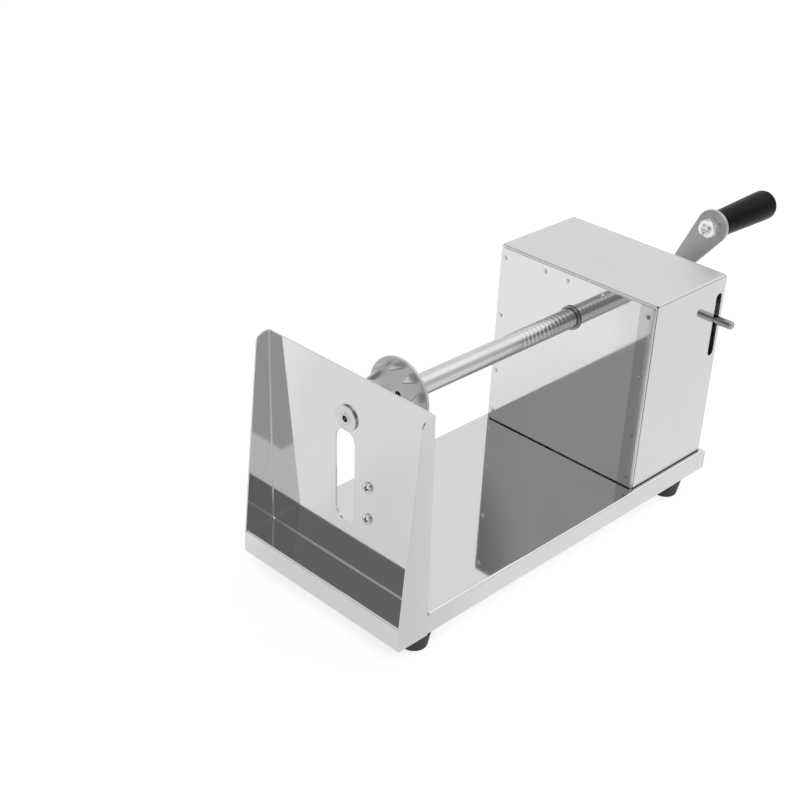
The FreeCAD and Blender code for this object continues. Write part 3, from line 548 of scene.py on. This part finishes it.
def moulded(name, colour, pale, roughness, grain, grain_scale, specular=0.4):
    """Moulded rubber or plastic: a fine grain with paler rubbed places."""
    material, tree, shader = new_material(name)
    shader.inputs["Specular IOR Level"].default_value = specular
    marks = use(tree, HANDLING, Size=2.0)
    edges = use(tree, EASED_EDGES, Width=MOULDED_EDGE)
    base = mix_colour(tree, marks.outputs["Smears"], colour, pale)
    base = mix_colour(tree, edges.outputs["Edge"], base, pale)
    tree.links.new(base, shader.inputs["Base Color"])
    rough = calc(tree, "MULTIPLY_ADD", marks.outputs["Smears"], 0.12, roughness)
    tree.links.new(rough, shader.inputs["Roughness"])
    coords = tree.nodes.new("ShaderNodeTexCoord").outputs["Object"]
    fine = stretched_noise(tree, coords, (1, 1, 1), grain_scale, 3.0, 0.6)
    bump = set_in(node(tree, "ShaderNodeBump"), Strength=grain, Distance=GRAIN_DEPTH)
    tree.links.new(fine, bump.inputs["Height"])
    tree.links.new(edges.outputs["Normal"], bump.inputs["Normal"])
    tree.links.new(bump.outputs[0], shader.inputs["Normal"])
    return material


def sheet_finish(name, **extra):
    return metal(name, (0.72, 0.72, 0.725), (0.70, 0.70, 0.705), 0.03, 0.03, lines=0.04, smear=0.03,
                 edge_wear_and_glint=(0.76, 0.76, 0.76), **extra)


CASING_BOX = (spot(CASING_FRONT, -CASING_WIDTH / 2, 0), spot(CASING_BACK, CASING_WIDTH / 2, CASING_HEIGHT))
TRAY_BOX = (spot(0, -BASE_WIDTH / 2, -15.5), spot(BASE_LENGTH, BASE_WIDTH / 2, 0))
FOLD_JOINT = (spot(PLATE_ALONG + SHEET_THICK, 0, 0).x, spot(0, 0, 1.6).z)
CASING_TOP, CASING_FOOT = spot(0, 0, CASING_HEIGHT).z, spot(0, 0, 0).z
BASE_FRONT, PANEL_MARGIN = spot(-1, 0, 0).x, (spot(0, -54.6, 0).y, 0.8)
SHEET = sheet_finish("polished_sheet", gap=0.6)
# the casing: painted shade along its folds and in the gap at its foot, and a painted highlight on its
# front-facing rims
SHEET_CASING = sheet_finish("polished_sheet_casing", folds=(*CASING_BOX, 1.1, 0.75, 0.2), rim=True,
                            satin=("Z", CASING_TOP - 1.2, CASING_TOP - 0.2, 0.3),
                            gap=0.96, gap_zone=("Z", CASING_FOOT + 6, CASING_FOOT + 3))
# the tray: painted shade along its folds and in gaps past the front, and a painted highlight band along its
# skirt's top fold
SHEET_TRAY = sheet_finish("polished_sheet_tray", folds=(*TRAY_BOX, 1.6, 0.3, 0.0), joint=FOLD_JOINT,
                          bands=[("Z", spot(0, 0, -0.85).z, 0.8, BASE_FRONT)], band_tone=0.78,
                          gap=0.96, gap_zone=("X", spot(90, 0, 0).x, spot(100, 0, 0).x))
# the stand: painted highlight bands along its folds
SHEET_STAND = sheet_finish("polished_sheet_stand", joint=FOLD_JOINT, soft_edges=0.5,
                           bands=[("Z", spot(0, 0, 0.6).z, 0.45, spot(PLATE_ALONG - 0.6, 0, 0).x),
                                  ("Y", spot(0, 68.3, 0).y, 0.45, BASE_FRONT),
                                  ("Y", spot(0, -68.2, 0).y, 0.4, BASE_FRONT)])
# the front panel's margin takes a painted darker reflection
SHEET_PANEL = sheet_finish("polished_sheet_panel", margin=(*PANEL_MARGIN, 0.55), gap=0.25)
TURNED = metal("turned_steel", (0.66, 0.66, 0.665), (0.6, 0.6, 0.6), 0.15, 0.08, lines=0.2, smear=0.05,
               edge_wear_and_glint=(0.74, 0.74, 0.74), gap=0.8)
BORED = metal("bored_steel", (0.32, 0.32, 0.325), (0.27, 0.27, 0.275), 0.22, 0.08, lines=0.2, smear=0.05,
              edge_wear_and_glint=(0.42, 0.42, 0.42), gap=0.97)
# the pin's rounded end takes a near-white edge colour: a painted highlight
PIN = metal("bright_pin_steel", (0.46, 0.46, 0.465), (0.4, 0.4, 0.405), 0.12, 0.06, lines=0.15, smear=0.05,
            edge_wear_and_glint=(0.9, 0.9, 0.9), gap=0.6)
SATIN = metal("satin_steel", (0.60, 0.60, 0.605), (0.56, 0.56, 0.565), 0.38, 0.1, lines=0.3, smear=0.05,
              edge_wear_and_glint=(0.74, 0.74, 0.74), gap=0.6)
ARM_STEEL = metal("arm_steel", (0.53, 0.53, 0.535), (0.48, 0.48, 0.485), 0.34, 0.12, lines=0.3, smear=0.05,
                  edge_wear_and_glint=(0.72, 0.72, 0.72))
KNIFE = metal("blade_steel", (0.62, 0.62, 0.63), (0.56, 0.56, 0.57), 0.16, 0.14, lines=0.5, smear=0.04,
              edge_wear_and_glint=(0.85, 0.85, 0.85), gap=0.8)
PLATED = metal("plated_steel", (0.76, 0.76, 0.77), (0.70, 0.70, 0.71), 0.06, 0.05, lines=0.1, smear=0.06,
               edge_wear_and_glint=(0.84, 0.84, 0.84), gap=0.97)
DOME = metal("domed_plating", (0.94, 0.94, 0.945), (0.9, 0.9, 0.905), 0.22, 0.06, lines=0.1, smear=0.06,
             edge_wear_and_glint=(0.9, 0.9, 0.9), gap=0.7)
# rivets over that margin take the same painted darker reflection
RIVET = metal("rivet_steel", (0.66, 0.66, 0.665), (0.6, 0.6, 0.605), 0.24, 0.08, lines=0.1, smear=0.06,
              gap=0.6, margin=(*PANEL_MARGIN, 0.34))
SPRING = metal("spring_steel", (0.36, 0.36, 0.38), (0.28, 0.28, 0.3), 0.25, 0.1, lines=0.1, smear=0.1)
BRONZE = metal("bronze", (0.66, 0.48, 0.25), (0.5, 0.36, 0.2), 0.3, 0.15, lines=0.3, smear=0.12,
               edge_wear_and_glint=(0.78, 0.6, 0.34))
RUBBER = moulded("black_rubber", (0.034, 0.034, 0.038), (0.055, 0.055, 0.06), 0.55, 0.5, 900.0)
PLASTIC = moulded("black_plastic", (0.0008, 0.0008, 0.0009), (0.002, 0.002, 0.0021), 0.3, 0.2, 1400.0, 0.08)
NYLON = moulded("nylon", (0.8, 0.79, 0.74), (0.72, 0.7, 0.64), 0.45, 0.2, 1200.0)

FINISHES = {"polished_sheet": SHEET, "turned_steel": TURNED, "arm_steel": ARM_STEEL, "blade_steel": KNIFE,
            "plated_steel": PLATED, "spring_steel": SPRING, "bronze": BRONZE, "black_rubber": RUBBER,
            "black_plastic": PLASTIC, "nylon": NYLON}
OWN_FINISHES = {"casing_shell": SHEET_CASING, "base_tray": SHEET_TRAY, "blade_stand": SHEET_STAND,
                "casing_front_panel": SHEET_PANEL, "pusher_disc": SATIN}

for entry in frame["record"]["subparts"]:
    cad = frame["nodes"][entry["node"]]
    cad.data.materials.clear()
    cad.data.materials.append(OWN_FINISHES.get(entry["node"], FINISHES[entry["material_slot"]]))


# Shaft, disc and crank

def screw_shaft():
    front, back, depth = 168.5, 335.0, 0.2
    bm = bmesh.new()
    matrix = facing(0, 0, AXIS_HEIGHT, X_AXIS)
    wall = SHAFT_RADIUS
    profile = [(64.4, SHAFT_BORE), (64.4, wall - 0.3), (64.7, wall), (front, wall)]
    profile += even_steps(front, back, wall, PITCH / 12)[1:]
    profile += [(339.3, wall), (339.3, 6.5), (340.4, 6.5), (340.4, wall)]
    profile += [(ARM_ALONG, wall), (ARM_ALONG, 5.0), (352.0, 5.0)]
    profile += even_steps(352.0, 357.1, 5.0, 0.1)[1:]
    profile += [(357.5, 4.5), (357.5, SHAFT_BORE + 0.3), (357.2, SHAFT_BORE), (64.4, SHAFT_BORE)]
    verts = turned(bm, profile, matrix, 80)
    cut_thread(verts, matrix, front, back, wall, PITCH, depth, groove=0.34)
    cut_thread(verts, matrix, 352.0, 357.2, 5.0, 1.0, 0.4, groove=0.8, run_out=0.2)
    return finish_piece("screw_shaft_threaded", bm, "spindle", TURNED, ["screw_shaft"],
                        sharp=50)


def toothed_disc():
    front, thick, radius, teeth = 62.0, 2.4, 24.7, 10
    bm = bmesh.new()
    matrix = facing(front, 0, AXIS_HEIGHT, X_AXIS)
    turned(bm, rounded(ring_outline(0, thick, SHAFT_BORE, radius), 0.7), matrix, 96)
    for number in range(teeth):
        corners = [(0.4, -3.5), (0.4, 3.5), (-7.0, 0.85), (-9.0, 0), (-7.0, -0.85)]
        tab = [bm.verts.new((x, y, 19.2)) for x, y in corners]
        blade = bm.faces.new(tab)
        top = new_verts(bmesh.ops.extrude_face_region(bm, geom=[blade])["geom"])
        bmesh.ops.translate(bm, vec=(0, 0, 1.6), verts=top)
        edges = list({e for v in top + tab for e in v.link_edges})
        made = bmesh.ops.bevel(bm, geom=edges, offset=0.28, offset_type="OFFSET", segments=2, profile=0.5,
                               affect="EDGES", material=-1, clamp_overlap=True)
        verts = list({v for f in made["faces"] for v in f.verts})
        turn = Matrix.Rotation(2 * math.pi * number / teeth, 4, "X")
        bmesh.ops.transform(bm, matrix=matrix @ turn, verts=verts)
    return finish_piece("toothed_disc", bm, "spindle", SATIN, ["pusher_disc"])


def dome_nut():
    base, length, corner = 5.5, 10.5, 7.5
    bm = bmesh.new()
    matrix = facing(ARM_ALONG, GRIP_ACROSS, GRIP_HEIGHT, -X_AXIS)
    hexagon_nut(bm, matrix, base, corner, 4.0, turn_by=0.0)
    dome = [(base - 0.3, 0.0), (base - 0.3, 6.1), (base, 6.1)]
    for step in range(1, 13):
        angle = math.pi / 2 * step / 12
        dome.append((base + (length - base) * math.sin(angle), 6.1 * math.cos(angle) ** 0.8))
    dome[-1] = (length, 0.0)
    turned(bm, dome, matrix, 64)
    return finish_piece("domed_hexagon_nut", bm, "spindle", DOME, ["dome_nut"])


def washer(name, node_name, body, along, thick, bore, radius, material, across=0.0,
           height=AXIS_HEIGHT):
    bm = bmesh.new()
    outline = rounded(ring_outline(0, thick, bore, radius), thick * 0.3)
    turned(bm, outline, facing(along, across, height, X_AXIS), 64)
    return finish_piece(name, bm, body, material, [node_name])


def nuts(name, node_name, body, places, direction, thick, corner, bore):
    """Hexagon nuts that stand on a face at several places."""
    bm = bmesh.new()
    for place in places:
        hexagon_nut(bm, facing(*place, direction), thick, corner, bore, cuts=3)
    return finish_piece(name, bm, body, PLATED, [node_name])


def pan_screws(name, node_name, body, places, direction, radius, rise, shank, length, pitch):
    """Cross recessed screws, whose shanks run back from the face that their heads lie on."""
    bm = bmesh.new()
    for place in places:
        screw_head(bm, facing(*place, direction), radius, rise)
        threaded_rod(bm, facing(*place, -direction), 0.0, length, shank, pitch)
    return finish_piece(name, bm, body, PLATED, [node_name])


def domed_rivets(name, node_name, body, places, direction, radius, rise, shank, grip):
    """Low domed rivets, with their shanks through what they hold."""
    bm = bmesh.new()
    profile = [(-grip, 0.0), (-grip, shank), (0.0, shank), (0.0, radius), (rise * 0.25, radius)]
    for step in range(1, 7):
        angle = math.pi / 2 * step / 6
        profile.append((rise * (0.25 + 0.75 * math.sin(angle)), radius * math.cos(angle)))
    profile[-1] = (rise, 0.0)
    for place in places:
        turned(bm, profile, facing(*place, direction), 24)
    return finish_piece(name, bm, body, RIVET, [node_name])


def grip_sleeve():
    length, near, far, bore, well = 65.2, 9.2, 10.8, 4.05, 7.2
    bm = bmesh.new()
    matrix = facing(ARM_ALONG + ARM_THICK + 1.3, GRIP_ACROSS, GRIP_HEIGHT, X_AXIS)
    profile = [(30.0, bore), (0.0, bore), (0.0, near - 0.9), (0.3, near - 0.3), (0.9, near)]
    for step in range(1, 17):
        t = step / 16
        profile.append((0.9 + (length - 7.9) * t, near + (far - near) * (1.25 * t - 0.25 * t * t)))
    for step in range(1, 13):
        angle = math.pi / 2 * step / 12
        profile.append((length - 4.4 + 4.4 * math.sin(angle), far - 3.4 + 3.4 * math.cos(angle)))
    profile += [(length - 0.2, well + 0.1), (length - 0.5, well), (length - 9.2, well)]
    profile += [(length - 9.2, bore), (30.0, bore)]
    turned(bm, profile, matrix, 80)
    return finish_piece("grip_sleeve", bm, "grip", PLASTIC, ["grip"])


def grip_bolt():
    bm = bmesh.new()
    seat = ARM_ALONG + ARM_THICK + 57.6
    screw_head(bm, facing(seat, GRIP_ACROSS, GRIP_HEIGHT, X_AXIS), 6.5, 4.4, recess=hexagon_socket,
               fall=6.0, depth=0.7)
    threaded_rod(bm, facing(seat, GRIP_ACROSS, GRIP_HEIGHT, -X_AXIS), 0.0, 67.1, 4.0, 1.25)
    return finish_piece("socket_head_bolt", bm, "spindle", PLATED, ["grip_bolt"])


screw_shaft()
toothed_disc()
dome_nut()
softened("crank_arm", "crank_plate", "spindle", ARM_STEEL, 0.45, 3)
softened("snap_ring", "open_ring", "spindle", SPRING, 0.2)
washer("hub_washer_eased", "hub_washer", "spindle", 346.5, 1.5, 5.0, 9.5, PLATED)
washer("grip_washer_eased", "grip_washer", "spindle", 346.5, 1.0, 4.0, 8.0, PLATED,
       GRIP_ACROSS, GRIP_HEIGHT)
washer("buffer_washer_eased", "buffer_washer", "buffer", 340.7, 2.5, 7.08, 12.0, NYLON)
nuts("hub_hexagon_nut", "hub_nut", "spindle", [(348.0, 0, AXIS_HEIGHT)], X_AXIS, 7.0, 9.2, 5.0)
grip_sleeve()
grip_bolt()


# Casing and what it carries

def both_sides(across):
    return (-across, across)


def release_pin():
    bm = bmesh.new()
    length = 28.4
    profile = [(0.0, 0.0), (0.0, 2.7), (0.3, 3.0), (length - 1.5, 3.0), (length - 0.9, 2.78)]
    profile += [(length - 0.35, 2.2), (length, 1.3), (length - 0.1, 0.9), (length - 0.45, 0.5)]
    profile += [(length - 0.5, 0.0)]
    turned(bm, rounded(profile, 0.3, 3), facing(301.5, -52.6, 106.5, -Y_AXIS), 40)
    return finish_piece("release_pin_eased", bm, "lever", PIN, ["release_pin"])


def bush(name, node_name, along, direction):
    bm = bmesh.new()
    bore, sleeve, flange, rise = SHAFT_RADIUS + 0.05, 7.8, 8.6, 1.4
    profile = [(-5.0, bore), (rise, bore), (rise, flange), (0.0, flange), (0.0, sleeve), (-11.0, sleeve),
               (-11.0, bore), (-5.0, bore)]
    turned(bm, rounded(profile, 0.35, 3), facing(along, 0, AXIS_HEIGHT, direction), 72)
    return finish_piece(name, bm, "frame", BORED, [node_name])


def return_spring():
    low, high, radius, wire, squashed = 58.9, 86.8, 4.6, 0.7, 0.44
    dead, active, steps = 1.0, 5.0, 24
    matrix = Matrix.Translation(spot(289, -30, low + wire))
    pitch = (high - low - 2 * wire - 2 * dead * 2 * wire) / active
    bm = bmesh.new()
    upright = Matrix.Translation((radius, 0, 0)) @ Matrix.Rotation(math.pi / 2, 4, "X")
    bmesh.ops.create_circle(bm, segments=10, radius=wire, cap_ends=True, matrix=upright)
    last = list(bm.faces)
    for turns, rise in ((dead, 2 * wire), (active, pitch), (dead, 2 * wire)):
        count = round(turns * steps)
        made = bmesh.ops.spin(bm, geom=last, cent=(0, 0, 0), dvec=(0, 0, turns * rise / count), axis=Z_AXIS,
                              angle=2 * math.pi * turns, steps=count, use_merge=False, use_duplicate=False)
        last = [g for g in made["geom_last"] if isinstance(g, bmesh.types.BMFace)]
    bmesh.ops.transform(bm, matrix=matrix, verts=bm.verts)
    piece = finish_piece("return_spring_coil", bm, "frame", SPRING, ["return_spring"])
    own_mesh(piece)
    return piece


FRONT_RIVETS = [(PANEL_FRONT, y, z) for y in both_sides(61.2) for z in (8, 41, 85, 129)]
FRONT_RIVETS += [(PANEL_FRONT, y, 131) for y in (25.5, 6, -24.5)]
BACK_RIVETS = [(PANEL_BACK, y, z) for y in both_sides(61.2) for z in (8, 68, 129)]
BACK_RIVETS += [(PANEL_BACK, y, 131) for y in both_sides(25)]
SHELF_RIVETS = [(PANEL_BACK, y, 44) for y in (-34, -26)]
CASING_SCREWS = [(x, y) for x in (241.0, 291.0) for y in both_sides(59.8)]

domed_rivets("front_rivets_domed", "front_panel_rivets", "frame", FRONT_RIVETS, -X_AXIS, 1.7, 0.6, 1.1, 3.6)
domed_rivets("back_rivets_domed", "back_panel_rivets", "frame", BACK_RIVETS, X_AXIS, 1.7, 0.6, 1.1, 3.6)
domed_rivets("shelf_rivets_domed", "shelf_rivets", "frame", SHELF_RIVETS, X_AXIS, 1.7, 0.6, 1.1, 4.8)
bush("front_bush_eased", "front_bush", PANEL_FRONT, -X_AXIS)
bush("back_bush_eased", "back_bush", PANEL_BACK, X_AXIS)
nuts("pivot_hexagon_nut", "pivot_nut", "frame", [(PANEL_BACK, 48, 98)], X_AXIS, 2.0, 4.6, 2.5)
pan_screws("casing_pan_screws", "casing_screws", "frame", [(x, y, -SHEET_THICK) for x, y in CASING_SCREWS],
           -Z_AXIS, 3.6, 2.2, 2.0, 7.0, 0.7)
nuts("casing_hexagon_nuts", "casing_nuts", "frame", [(x, y, SHEET_THICK) for x, y in CASING_SCREWS],
     Z_AXIS, 3.2, 4.04, 2.0)
release_pin()
return_spring()


# Base, feet and blade stand

def rubber_foot(corner, along, across):
    top, bottom, bore, recess, height = 10.8, 8.6, 2.6, 4.8, 12.0
    bm = bmesh.new()
    profile = [(8.5, bore), (height, bore), (height, top), (0.0, bottom), (0.0, recess), (5.0, recess),
               (5.0, bore), (8.5, bore)]
    turned(bm, rounded(profile, 0.9), facing(along, across, FLOOR_HEIGHT, Z_AXIS), 72)
    return finish_piece("moulded_foot_" + corner, bm, "frame", RUBBER,
                        ["rubber_foot_" + corner])


def centre_guide():
    bore, wall, flange = 2.1, 3.0, 8.5
    bm = bmesh.new()
    profile = [(3.0, bore), (12.5, bore), (12.5, wall - 0.4), (9.0, wall), (0.0, wall), (0.0, flange),
               (-1.5, flange), (-1.5, wall + 1.0), (-2.0, wall + 0.6), (-2.0, bore), (3.0, bore)]
    height = AXIS_HEIGHT / math.cos(PLATE_LEAN)
    turned(bm, rounded(profile, 0.35, 3), facing(*on_plate(0, height), PLATE_BACK), 56)
    return finish_piece("centre_guide", bm, "frame", TURNED, ["skewer_guide"])


for corner, (along, across) in FEET.items():
    rubber_foot(corner, along, across)
pan_screws("foot_pan_screws", "foot_screws", "frame",
           [(x, y, FLOOR_HEIGHT + 5.0) for x, y in FEET.values()], -Z_AXIS, 4.2, 2.6, 2.5, 15.0, 0.8)
nuts("foot_hexagon_nuts", "foot_nuts", "frame", [(x, y, FLOOR_HEIGHT + 13.2) for x, y in FEET.values()],
     Z_AXIS, 4.0, 4.6, 2.5)
BLADE_SCREWS = [(-18.3, 43.2), (-18.3, 65.8)]
pan_screws("blade_pan_screws", "blade_screws", "frame", [on_plate(y, z) for y, z in BLADE_SCREWS],
           -PLATE_BACK, 3.6, 2.2, 2.0, 7.0, 0.7)
nuts("blade_hexagon_nuts", "blade_nuts", "frame",
     [on_plate(y, z, 2 * SHEET_THICK) for y, z in BLADE_SCREWS], PLATE_BACK, 3.2, 4.04, 2.0)
domed_rivets("stand_rivets_domed", "stand_rivets", "frame",
             [(PLATE_ALONG + 9, y, SHEET_THICK) for y in (-42, 0, 42)], Z_AXIS, 1.7, 0.6, 1.1, 3.6)
softened("blade", "ground_knife", "frame", KNIFE, 0.2)
centre_guide()


# Studio

def factor_toward(tree, direction, toward, inner, outer, level):
    """1 away from a direction, and a darker level within some degrees of it."""
    dot = vector_calc(tree, "DOT_PRODUCT", direction, Vector(toward).normalized())
    outer, inner = (math.cos(math.radians(limit)) for limit in (outer, inner))
    return remap(tree, dot, outer, inner, 1.0, level, smooth=True)


def light_switch(tree, seen, reflected, unseen):
    """One colour to the camera, one to reflections and one to everything else."""
    path = node(tree, "ShaderNodeLightPath")
    colour = mix_colour(tree, path.outputs["Is Glossy Ray"], unseen, reflected)
    direct = calc(tree, "MAXIMUM", path.outputs["Is Camera Ray"], path.outputs["Is Transmission Ray"])
    return mix_colour(tree, direct, colour, seen)


def grey_colour(tree, value):
    made = node(tree, "ShaderNodeCombineColor")
    for channel in made.inputs:
        tree.links.new(value, channel)
    return made.outputs[0]


# what polished metal sees of the studio: softly darker or brighter towards these directions
DARK_SIDES = [((-0.70, 0.50, 0.50), 20, 30, 0.48), ((-0.551, 0.596, 0.584), 6.3, 8.4, 0.5),
              ((0.63, -0.75, 0.21), 10, 24, 0.68), ((-0.66, -0.66, 0.35), 22, 42, 0.3)]
BRIGHT_SIDE = ((0.63, -0.19, 0.75), 14, 24, 1.35)

world = bpy.data.worlds.new("studio")
world.use_nodes = True
bpy.context.scene.world = world
tree = world.node_tree
direction = tree.nodes.new("ShaderNodeTexCoord").outputs["Generated"]
room = 0.92
for toward, inner, outer, level in DARK_SIDES + [BRIGHT_SIDE]:
    room = calc(tree, "MULTIPLY", room, factor_toward(tree, direction, toward, inner, outer, level))
background = tree.nodes["Background"]
colour = light_switch(tree, (1, 1, 1), grey_colour(tree, room), (0.62, 0.62, 0.63))
tree.links.new(colour, background.inputs["Color"])
background.inputs["Strength"].default_value = 1.0


def stage_plane(name, width, depth, matrix, material):
    bm = bmesh.new()
    bmesh.ops.create_grid(bm, x_segments=1, y_segments=1, size=0.5)
    bmesh.ops.scale(bm, vec=(width, depth, 1), verts=bm.verts)
    bmesh.ops.transform(bm, matrix=matrix, verts=bm.verts)
    mesh = bpy.data.meshes.new(name)
    bm.to_mesh(mesh)
    bm.free()
    mesh.materials.append(material)
    plane = bpy.data.objects.new(name, mesh)
    bpy.context.scene.collection.objects.link(plane)
    return plane


floor_material, tree, shader = new_material("studio_floor")
shader.inputs["Base Color"].default_value = (0.4, 0.4, 0.4, 1)
shader.inputs["Roughness"].default_value = 0.9
shader.inputs["Specular IOR Level"].default_value = 0.0
coords, axes = object_place(tree)
lift = remap(tree, axes["Y"], -0.19, -0.07, 0.49, 0.58)
# reflections see the floor lighter where it lies to the left of the casing's front panel, and
# darker to the right of the blade stand: a slanting place, its two ends, the same along Y, and
# how much is added there
for slant, start, full, across_start, across_full, added in (
        ((1.0, 1.2, 0.0), -0.085, -0.045, -0.03, 0.0, 0.1),
        ((1.0, 0.8, 0.0), -0.175, -0.24, -0.05, -0.08, -0.14)):
    patch = remap(tree, vector_calc(tree, "DOT_PRODUCT", coords, Vector(slant)), start, full)
    patch = calc(tree, "MINIMUM", patch, remap(tree, axes["Y"], across_start, across_full))
    lift = calc(tree, "MULTIPLY_ADD", patch, added, lift)
colour = light_switch(tree, (0.74, 0.74, 0.74), grey_colour(tree, lift), (0.2, 0.2, 0.2))
tree.links.new(colour, shader.inputs["Emission Color"])
shader.inputs["Emission Strength"].default_value = 1.0
stage_plane("floor", 24.0, 24.0, Matrix.Identity(4), floor_material)

# a grey card on the floor that only reflections see, in front of the machine's left side
card_material, tree, shader = new_material("studio_card")
shader.inputs["Base Color"].default_value = (0, 0, 0, 1)
shader.inputs["Specular IOR Level"].default_value = 0.0
shader.inputs["Emission Color"].default_value = (0.53, 0.53, 0.53, 1)
shader.inputs["Emission Strength"].default_value = 1.0
card = stage_plane("card", 0.24, 0.28, Matrix.Translation((-0.386, -0.154, 0.0005)), card_material)
card.visible_camera = False
card.visible_shadow = False
card.visible_diffuse = False


def area_lamp(name, place, target, size, watts):
    """A soft lamp that lights the object and that no reflection shows."""
    lamp = bpy.data.lights.new(name, "AREA")
    lamp.shape = "SQUARE"
    lamp.size = size
    lamp.energy = watts
    holder = bpy.data.objects.new(name, lamp)
    holder.matrix_world = (Matrix.Translation(Vector(place))
                           @ (Vector(place) - Vector(target)).to_track_quat("Z", "Y").to_matrix().to_4x4())
    holder.visible_glossy = False
    bpy.context.scene.collection.objects.link(holder)
    return holder


area_lamp("key", (1.26, -0.38, 1.6), (0, 0, 0.1), 0.7, 14.0)
area_lamp("side", (-1.0, -1.6, 2.0), (0, 0, 0.1), 1.2, 12.0)

# Camera

AZIMUTH, ELEVATION, ROLL = (math.radians(v) for v in (-46.61, 29.11, 2.91))
back = Vector((math.sin(AZIMUTH) * math.cos(ELEVATION), -math.cos(AZIMUTH) * math.cos(ELEVATION),
               math.sin(ELEVATION)))
right = Vector((math.cos(AZIMUTH), math.sin(AZIMUTH), 0))
up = back.cross(right)
level_right = math.cos(ROLL) * right + math.sin(ROLL) * up
level_up = -math.sin(ROLL) * right + math.cos(ROLL) * up
camera_data = bpy.data.cameras.new("camera")
camera_data.sensor_width = 36.0
camera_data.lens = 66.07
camera_data.clip_end = 100.0
camera = bpy.data.objects.new("camera", camera_data)
turn = Matrix((level_right, level_up, back)).transposed().to_4x4()
camera.matrix_world = Matrix.Translation((-0.70733, -0.52874, 0.56229)) @ turn
bpy.context.scene.collection.objects.link(camera)
bpy.context.scene.camera = camera
bpy.context.scene.view_settings.view_transform = "Standard"
